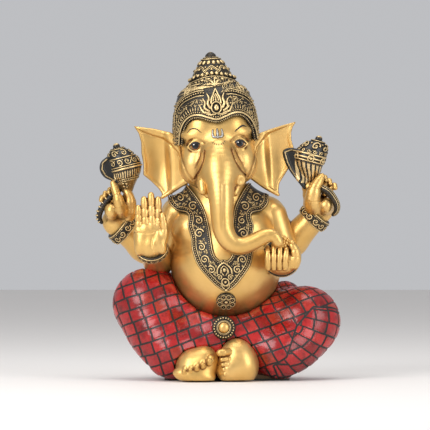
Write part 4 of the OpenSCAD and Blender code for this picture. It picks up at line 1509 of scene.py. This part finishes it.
def conch_frame(name, side):
    low, high = cad_box(name + "_conch")
    foot = at(-87.5 if side == RIGHT else 72.5, (low[1] + high[1]) / 2, low[2] + 0.4)
    lean = side * 14
    return foot, turned(0, lean, 0)


def conch_bow(side):
    """How far a shell bulges towards the head, as a function of height along it."""
    reach = 3.6 if side == RIGHT else -4.8
    return lambda t: reach * bump((np.asarray(t, float) - 25) / 19)


LIPS = {
    RIGHT: [(-5, 12), (-10.5, 18), (-15.5, 22.5), (-17.5, 29), (-15.5, 34.5), (-10, 37.5)],
    LEFT: [(-2, 0), (-12, 8), (-17.5, 13), (-22.5, 19), (-27, 27), (-22, 30.5), (-13, 31)]}


def conch_lip(q, side):
    """The mouth of a shell: a wing beside the body with a rolled edge."""
    wing = polygon(q[:, [0, 2]], [*LIPS[side], (2, 25), (2, 10)])
    sheet = -join(-(wing + 0.5), -(np.abs(q[:, 1] + 5.0) - 2.6), 1.5)
    edge = smooth_line([at(x, -7.0, z) for x, z in LIPS[side]], 24)
    return join(sheet, limb(q, edge, np.interp(np.arange(24), [0, 12, 23], [1.2, 2.2, 1.6])), 1.0)


def conch_field(p, foot, axes, side):
    q = (p - foot) @ axes
    x = q[:, 0] - conch_bow(side)(q[:, 2])
    angle = np.arctan2(x, -q[:, 1])
    radial = np.sqrt(x ** 2 + q[:, 1] ** 2)
    ribs = 0.5 * np.sqrt(np.abs(np.sin(rib_angle(angle, q[:, 2], side)))) * on_ribs(q[:, 2], side)
    outline = [(-20, 0)] + CONCH + [(-20, 46.5)]
    d = polygon(np.stack([radial - ribs, q[:, 2]], -1), outline)
    return join(d, conch_lip(q, side), 0.8)


def rib_angle(angle, t, side):
    return angle * 18 if side == RIGHT else angle * 9 + 0.05 * t


def on_ribs(t, side):
    if side == RIGHT:
        return smoothstep(15.5, 16.5, t) * smoothstep(24, 23, t)
    return smoothstep(1, 5, t) * smoothstep(24.5, 23.5, t)


def conch_relief(q, side):
    """Gold on the crests of the ribs and black between them; the right conch ends in a dull smooth cone."""
    x = q[:, 0] - conch_bow(side)(q[:, 2])
    angle = np.arctan2(x, -q[:, 1])
    crest = np.abs(np.sin(rib_angle(angle, q[:, 2], side)))
    rib = smoothstep(0.25, 0.6, crest) * on_ribs(q[:, 2], side) * 0.92
    cone = 0.80 * smoothstep(14.5, 13.5, q[:, 2]) * (side == RIGHT)
    wing = smoothstep(0.3, -0.3, polygon(q[:, [0, 2]], LIPS[side])) * (q[:, 1] < 0)
    edge = bump(polygon_line(q[:, [0, 2]], np.array(LIPS[side], float)) / 1.5)
    off_body = smoothstep(13.5, 15, np.sqrt(x * x + q[:, 1] ** 2))
    lip = np.maximum(edge * 0.95, 0.35 * wing) * off_body
    return np.clip((rib + cone) * (1 - off_body) + lip, 0, 1)


def build_conches():
    for side, name in ((RIGHT, "right"), (LEFT, "left")):
        foot, axes = conch_frame(name, side)
        low, high = cad_box(name + "_conch")
        field = lambda p: conch_field(p, foot, axes, side)
        points, quads = field_mesh(field, low - 14, high + 8, 0.5 * STEP)
        relief = conch_relief((points - foot) @ axes, side)
        shell = make_mesh(name + "_conch_shell", points, quads, {"relief": relief})
        place(shell, ANTIQUE, "antique_paint", [name + "_conch"])
        lathe = Lathe(foot, axes, CONCH, conch_bow(side))
        pile = Pile()
        axis = axes[:, 2]
        pile.beads(foot + axis * 45.8, axis, 3.3, 3)
        if side == RIGHT:
            dress_right_conch(pile, lathe)
        else:
            dress_left_conch(pile, lathe)
        pile.finish(name + "_conch_relief", ANTIQUE, "antique_paint")
        build_tail(name, side)


def scroll_ring(pile, lathe, t, count, reach, radius):
    """Bold scrolls side by side around a shell, with small seeds between them."""
    r = float(lathe.radius(t))
    for k in range(count):
        s = ((k + 0.5) / count - 0.5) * 2 * math.pi * r
        lay_scroll(pile, lathe, (s, t), reach, k * 2.1, 1 if k % 2 else -1, radius, 1.3)
        points, normals = lathe(np.array([(s + math.pi * r / count, t + reach * 0.6)]), 0.3)
        pile.beads(points, normals, radius * 1.3, 1)


def dress_right_conch(pile, lathe):
    for t, radius in ((43.0, 0.5), (34.8, 0.6), (27.0, 0.6), (24.8, 1.1), (15.6, 0.45), (13.8, 0.45)):
        crown_thread(pile, lathe, lambda a, t=t: t + 0 * a, radius, 56, 0.4)
    crown_ring(pile, lathe, lambda a: 43.9 + 0 * a, 0.7, 18, 0.4, 1)
    crown_ring(pile, lathe, lambda a: 14.7 + 0 * a, 0.7, 36, 0.4, 1)
    scroll_ring(pile, lathe, 39.0, 8, 3.0, 0.6)
    scroll_ring(pile, lathe, 31.0, 12, 3.0, 0.6)
    for x, t, r in ((-3.0, 12.4, 1.3), (-0.2, 11.6, 1.3), (-2.2, 9.8, 1.3), (0.4, 8.6, 1.1),
                    (-1.6, 7.2, 1.0)):
        centre, normal = lathe(np.array([(x, t)]), 0.5)
        pile.beads(centre, normal, r, 2)


def dress_left_conch(pile, lathe):
    for t, radius in ((43.6, 0.6), (30.6, 1.0), (27.4, 1.0), (24.6, 0.8)):
        crown_thread(pile, lathe, lambda a, t=t: t + 0 * a, radius, 56, 0.4)
    scroll_ring(pile, lathe, 38.6, 7, 3.6, 0.9)
    scroll_ring(pile, lathe, 33.2, 14, 1.9, 0.5)
    for k in range(7):
        s = 1.6 + k * 12.4
        ring = np.array([(s, 27.0)]) + circle(2.6, 20)
        lay(pile, lathe, ring, 0.75, 0.7, 6, closed=True)
        centre, normal = lathe(np.array([(s, 27.0)]), 0.8)
        pile.dome(centre[0], normal[0], np.array([1.7, 1.1, 1.7]))


TAILS = {
    "right": [(-96.5, 1, 169, 2.2), (-103, 0, 164.5, 2.7), (-109, -1, 158, 2.8), (-113, -2, 151, 2.7),
              (-114, -1, 145, 2.4), (-112, 0, 141, 1.7)],
    "left": [(84, -5, 173, 3.0), (92.7, -7, 167.4, 3.4), (99, -8, 157.5, 3.0), (99, -7, 151.2, 2.4),
             (96.3, -5, 148.0, 1.7)]}


def build_tail(name, side):
    """The dark strap that hangs out of the fist: toothed on its outer edge, or grooved along its length."""
    line = smooth_line(np.array(TAILS[name]), 30)
    low, high = line[:, :3].min(0) - 5, line[:, :3].max(0) + 5
    points, quads = field_mesh(lambda p: limb(p, line[:, :3], line[:, 3]), low, high, 0.6 * STEP)
    place(make_mesh(name + "_tail_strap", points, quads), GROUND, "antique_paint", [name + "_conch_tail"])
    pile = Pile()
    along = unit(np.gradient(line[:, :3], axis=0))
    outward = unit(np.cross(along, Y) * (1 if side == RIGHT else -1))
    outward = outward * np.sign(outward[:, [2]] * 0.4 + outward[:, [0]] * side + 1e-9)
    if side == RIGHT:
        for k in range(3, 28, 3):
            c, r, a = line[k, :3], line[k, 3], along[k]
            out, front = outward[k], -Y
            turn = np.linspace(-0.35, 1.25, 8)
            arc = c + (np.cos(turn)[:, None] * out + np.sin(turn)[:, None] * front) * (r + 0.1)
            pile.thread(arc, unit(arc - c), np.array([0.3, 0.8, 1.0, 1.0, 0.9, 0.7, 0.5, 0.2]), 6)
    else:
        for turn in (-0.5, 0.1, 0.7, 1.25):
            radial = np.cos(turn) * outward - np.sin(turn) * Y
            path = line[:, :3] + radial * line[:, [3]]
            pile.thread(path, radial, 0.42, 6)
    pile.finish(name + "_tail_ribs", ANTIQUE, "antique_paint")


# ---------------------------------------------------------------- face details

def face_surface(uz, lift=0.0):
    """A place on the face from head coordinates (x, z)."""
    uz = np.atleast_2d(np.asarray(uz, float))
    frame_points = from_head(np.stack([uz[:, 0], np.zeros(len(uz)), uz[:, 1]], -1))
    return FACE_TRACE(frame_points[:, [0, 2]], lift)


FACE_TRACE = tracer(head_field, -85)


def stroke(pile, points, radii, lift=0.0, flat=0.5, n=18):
    line = smooth_line(np.array(points, float), n)
    radii = np.interp(np.linspace(0, 1, n), np.linspace(0, 1, len(radii)), radii)
    lay(pile, face_surface, line, radii, lift, 6, flat)


BROWS = {
    RIGHT: [(-25.6, 21.2), (-22.3, 24.2), (-17.4, 24.1), (-13.0, 20.6)],
    LEFT: [(17.0, 19.6), (20.9, 22.6), (24.4, 24.2), (27.4, 23.2)]}
TRIDENT_X = 1.3


def build_eyes(ink, black, white, cream, amber):
    for side in (RIGHT, LEFT):
        c = eye_centre(side)
        look = unit(at(side * 0.12, -1, 0.02))
        cream.dome(from_head(c[None])[0], -Y, np.array(EYE_RADII) + 0.12, 3)
        iris = from_head((c + at(side * 0.2, -EYE_RADII[1] - 0.1, 0.4))[None])[0]
        amber.dome(iris + at(0, 0.35, -0.5), look, np.array([3.9, 0.8, 3.3]), 3)
        black.dome(iris, look, np.array([3.3, 0.95, 3.1]), 3)
        # Painted highlight: a small white bead on the upper side of the iris.
        white.beads(iris + at(-1.3, -0.8, 1.1), -Y, 0.5, 2)
        upper = lid_line(side, 3.7) + at(0, -0.5, 0)
        ink.thread(from_head(upper), np.tile(-Y, (9, 1)),
                   np.array([0.5, 0.8, 1.0, 1.1, 1.15, 1.1, 0.95, 0.7, 0.4]), 6, 0.8)
        corner = lid_line(side, -2.9) + at(0, -0.1, 0)
        ink.thread(from_head(corner), np.tile(-Y, (9, 1)), np.full(9, 0.3), 5, 0.8)


def build_face():
    ink, black, white, cream, silver, amber = Pile(), Pile(), Pile(), Pile(), Pile(), Pile()
    build_eyes(ink, black, white, cream, amber)
    stroke(ink, BROWS[RIGHT], [0.25, 0.55, 0.6, 0.25], 0.05, 0.5)
    stroke(ink, BROWS[LEFT], [0.4, 0.8, 0.9, 0.4], 0.05, 0.5)
    x = TRIDENT_X
    prongs = [[(x, 14.8), (x, 18.5), (x, 23.0)]]
    for side in (RIGHT, LEFT):
        prongs.append([(x + side * 0.6, 15.6), (x + side * 3.6, 15.9), (x + side * 4.4, 18.8),
                       (x + side * 3.9, 22.4)])
    for prong in prongs:
        stroke(ink, prong, [1.2, 1.5, 0.9], -0.1, 0.5)
        stroke(silver, prong, [0.8, 1.1, 0.45], 0.3, 0.7)
    for k in np.linspace(-1, 1, 8):
        a = (x + 0.7 + 5.0 * k, 9.3 + 2.3 * k * k)
        stroke(ink, [a, (a[0] + 0.5 * k, a[1] - 1.2)], [0.4, 0.35], 0.0, 0.6, 4)
    ink.finish("brows_and_lids", INK, "gold_paint")
    black.finish("irises", BLACK, "gold_paint")
    white.finish("eye_glints", WHITE, "gold_paint")
    cream.finish("eyeballs", CREAM, "gold_paint")
    amber.finish("iris_rims", AMBER, "gold_paint")
    silver.finish("trident_mark", SILVER, "gold_paint")


# ---------------------------------------------------------------- sweets in the cupped hand

def build_sweets():
    centre = cad_centre("modak")
    pile = Pile()
    r = np.random.default_rng(4)
    pile.beads(centre + at(0, 1, -1), Z, 5.6, 3)
    for k in range(46):
        a = k * 2.4
        tilt = math.acos(1 - (k + 0.5) / 46 * 1.25)
        n = at(math.sin(tilt) * math.cos(a), math.sin(tilt) * math.sin(a), math.cos(tilt))
        pile.beads(centre + at(0, 1, -1) + n * at(7.2, 5.6, 6.2), n, r.uniform(1.1, 1.8), 2)
    pile.beads(centre + at(8.5, -3.5, 0.5), Z, 2.2, 2)
    pile.finish("sweets", GOLD, "gold_paint", ["modak"])


# ---------------------------------------------------------------- the tiled dhoti

FAN_EDGE = [(77.8, 66), (63, 49), (57.7, 33.5), (53.8, 21.8), (42, 14), (52, -10), (130, -10), (130, 62.5)]
FAN_RINGS, FAN_SPOKES = (52, 54), (9, 73)
FAN_REACH = 85
LEG_X, LEG_Y, LEG_Z = 58, -4, 50
LEG_ROLL = 46
CLOTH_DROP = 47.5


def turned_to(a, b, way):
    """How far along a flat direction each place lies."""
    return a * way[0] + b * way[1]


def leg_flat(p, centre, reach):
    """Unrolls a knee about the forward axis through a centre, so that its tiles keep their size."""
    dx, dz = p[:, 0] - centre[0], p[:, 2] - centre[2]
    r = np.maximum(np.sqrt(dx * dx + dz * dz), 1e-6)
    turn = np.arctan2(r, np.maximum(centre[1] - p[:, 1], -r * 3) + reach * 0.35)
    stretch = np.maximum(reach * turn / r, 1.0)
    return dx * stretch, dz * stretch


def tile_coordinates(p):
    """(u, v, seam): u and v count tiles along and across each leg, and seam is how far a groove is."""
    a, b = leg_flat(p, at(-LEG_X, LEG_Y, LEG_Z), LEG_ROLL)
    u_right = turned_to(a, b, (0.95, 0.31)) / TILE_U
    v_right = turned_to(a, b, (-0.34, 0.94)) / TILE_V
    a, b = leg_flat(p, at(LEG_X, LEG_Y, LEG_Z), LEG_ROLL)
    a, b = a + LEG_X, b + LEG_Z
    edge = polygon(np.stack([a, b], -1), FAN_EDGE)
    fan = edge < 0
    ring = np.sqrt((a - FAN_RINGS[0]) ** 2 + (b - FAN_RINGS[1]) ** 2)
    spoke = np.arctan2(b - FAN_SPOKES[1], a - FAN_SPOKES[0]) * FAN_REACH
    u_left = np.where(fan, (ring - 28) / TILE_U, turned_to(a - 45, b - 40, (0.866, 0.5)) / TILE_V)
    v_left = np.where(fan, spoke / TILE_V, turned_to(a - 45, b - 40, (-0.34, 0.94)) / TILE_V)
    left = p[:, 0] > 0.5
    u_tile = np.where(left, u_left + 50, u_right)
    v_tile = np.where(left, v_left + 50, v_right)
    middle = np.abs(p[:, 0] - 0.5) / TILE_U
    seam = np.minimum(middle, np.where(left, np.abs(edge) / TILE_U, 1.0))
    seam = np.minimum(seam, np.abs(torso_field(p)) / TILE_U + 0.02)
    wobble_u = 0.03 * waves(p, 34, 21) + 0.015 * waves(p, 12, 22)
    wobble_v = 0.03 * waves(p, 34, 23) + 0.015 * waves(p, 12, 24)
    return u_tile + wobble_u, v_tile + wobble_v, seam


def groove_depth(p):
    u, v, seam = tile_coordinates(p)
    u = u + TILE_SLIP * np.sin(np.floor(v) * TILE_SLIP_RATE)
    line_u = 0.5 - np.abs(u - np.floor(u) - 0.5)
    line_v = 0.5 - np.abs(v - np.floor(v) - 0.5)
    near = np.minimum(np.minimum(line_u, line_v), seam)
    return 1 - smoothstep(TILE_GROOVE * 0.3, TILE_GROOVE * 1.6, near)


def dhoti_field(p):
    d = dhoti_solid(p)
    hung = (size((p[:, [0, 2]] - BELLY[[0, 2]]) / [50, CLOTH_DROP]) - 1) * CLOTH_DROP
    d = cut(d, np.maximum(hung, p[:, 1] - 6), 5)
    d = np.maximum(d, -(torso_field(p) - 0.3))
    for name in ("right_foot", "left_foot"):
        d = cut(d, FOOT_FIELDS[name](p) - 0.3, 0.6)
    d = np.maximum(d, CAST_Z - p[:, 2])
    near = np.abs(d) < 3
    if near.any():
        d[near] = d[near] + 0.75 * groove_depth(p[near])
    return d


FOOT_FIELDS = {"right_foot": right_foot_field, "left_foot": left_foot_field}


def build_dhoti():
    low, high = box_of("dhoti", 4)
    points, quads = field_mesh(dhoti_field, low, high, 0.85 * STEP)
    u, v, seam = tile_coordinates(points)
    cloth = make_mesh("dhoti_tiles", points, quads, {"tile_u": u, "tile_v": v, "tile_seam": seam})
    place(cloth, TILES, "red_paint", ["dhoti"])


# ---------------------------------------------------------------- build the castings

def box_of(node, margin=6.0):
    low, high = cad_box(node)
    return low - margin, high + margin


def build_castings():
    low, high = box_of("torso")
    low[2] = BELLY[2] - 56
    place(cast("belly_and_chest", torso_full, low, high, 1.1), GOLD, "gold_paint", ["torso"])
    low, high = box_of("head")
    low[1] = cad_box("trunk")[0][1] - 6

    def head_only(p):
        return cut(head_field(p), torso_field(p) + 0.3, 0.5)

    place(cast("elephant_head", head_only, low, high, 0.62), GOLD, "gold_paint", ["head"])
    low, high = box_of("trunk")
    place(cast("trunk_casting", trunk_field, low, high, 0.75), GOLD, "gold_paint", ["trunk"])
    for side, name in ((RIGHT, "right"), (LEFT, "left")):
        low, high = box_of(name + "_tusk")
        field = lambda p, side=side: tusk_field(to_head(p), side)
        place(cast(name + "_tusk_stub", field, low, high, 0.45), GOLD, "gold_paint", [name + "_tusk"])
        low, high = box_of(name + "_ear")
        field = lambda p, side=side: ear_field(p, side)
        place(cast(name + "_ear_fan", field, low, high, 0.7), GOLD, "gold_paint", [name + "_ear"])
    for name in ARMS:
        low, high = box_of(name + "_arm", 8)
        field = lambda p, name=name: np.maximum(arm_field(p, name), -hand_side(p, name))
        place(cast(name + "_arm_casting", field, low, high, 0.95), GOLD, "gold_paint", [name + "_arm"])
    hands = {
        "front_right": palm_field, "front_left": cupped_field,
        "rear_right": lambda p: fist_field(p, "rear_right", RIGHT),
        "rear_left": lambda p: fist_field(p, "rear_left", LEFT),
    }
    for name, field in hands.items():
        low, high = box_of(name + "_hand", 8)
        cut_hand = lambda p, name=name, field=field: np.maximum(field(p), hand_side(p, name))
        place(cast(name + "_hand_casting", cut_hand, low, high, 0.5, 2.0), GOLD, "gold_paint",
              [name + "_hand"])
    for name, field in (("right", right_foot_field), ("left", left_foot_field)):
        low, high = box_of(name + "_foot", 6)
        place(cast(name + "_foot_casting", field, low, high, 0.5, 2.0), GOLD, "gold_paint",
              [name + "_foot"])


def finish_hidden_parts():
    steel = plain_material("dowel_steel", (0.45, 0.45, 0.46), 0.35, 0.9)
    board = plain_material("plate_board", (0.30, 0.19, 0.10), 0.7)
    felt = plain_material("felt", (0.045, 0.05, 0.045), 0.95)
    for name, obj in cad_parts.items():
        if name.endswith(("_dowel", "_dowels", "_pins")):
            material = steel
        elif name == "base_plate":
            material = board
        elif name == "felt_pad":
            material = felt
        else:
            continue
        obj.data.materials.clear()
        obj.data.materials.append(material)


build_castings()
build_dhoti()
build_crown()
build_necklace()
build_pendant()
build_rosette()
build_bracelets()
build_conches()
build_face()
build_sweets()
finish_hidden_parts()


# ---------------------------------------------------------------- floor, lights and camera

FLOOR_END = 2.76


def build_studio():
    middle = at(-9.9, 0, 147.6)
    bpy.ops.mesh.primitive_plane_add(size=8, location=(0, FLOOR_END - 4, FLOOR_Z * MM))
    floor = bpy.context.object
    floor.name = "studio_floor"
    material, nodes, links = new_material("floor_paper")
    nodes["Principled BSDF"].inputs["Base Color"].default_value = (0.80, 0.77, 0.74, 1)
    nodes["Principled BSDF"].inputs["Roughness"].default_value = 0.6
    floor.data.materials.append(material)
    world = bpy.data.worlds.new("studio")
    bpy.context.scene.world = world
    world.use_nodes = True
    world.node_tree.nodes["Background"].inputs[0].default_value = (0.80, 0.81, 0.84, 1)
    world.node_tree.nodes["Background"].inputs[1].default_value = 0.64

    def softbox(name, place, power, width, height, colour=(1, 1, 1)):
        light = bpy.data.lights.new(name, "AREA")
        light.shape = "RECTANGLE"
        light.size, light.size_y, light.energy, light.color = width, height, power, colour
        obj = bpy.data.objects.new(name, light)
        bpy.context.scene.collection.objects.link(obj)
        obj.location = place
        direction = Vector(tuple(middle * MM)) - Vector(place)
        obj.rotation_euler = direction.to_track_quat("-Z", "Y").to_euler()

    softbox("key", (-0.75, -0.95, 0.75), 12, 0.7, 0.9)
    softbox("fill", (0.95, -0.8, 0.45), 6, 0.6, 0.9)
    softbox("top", (0, -0.1, 1.3), 7, 0.9, 0.7)

    camera = bpy.data.cameras.new("camera")
    obj = bpy.data.objects.new("camera", camera)
    bpy.context.scene.collection.objects.link(obj)
    distance, width, tilt = 4.0, 0.387, math.radians(0.7)
    camera.sensor_width = 36
    camera.lens = 36 * distance / width
    obj.location = Vector(tuple(middle * MM)) + Vector((0, -distance * math.cos(tilt),
                                                        distance * math.sin(tilt)))
    obj.rotation_euler = (math.radians(90) - tilt, 0, 0)
    bpy.context.scene.camera = obj
    bpy.context.scene.view_settings.view_transform = "Standard"


build_studio()
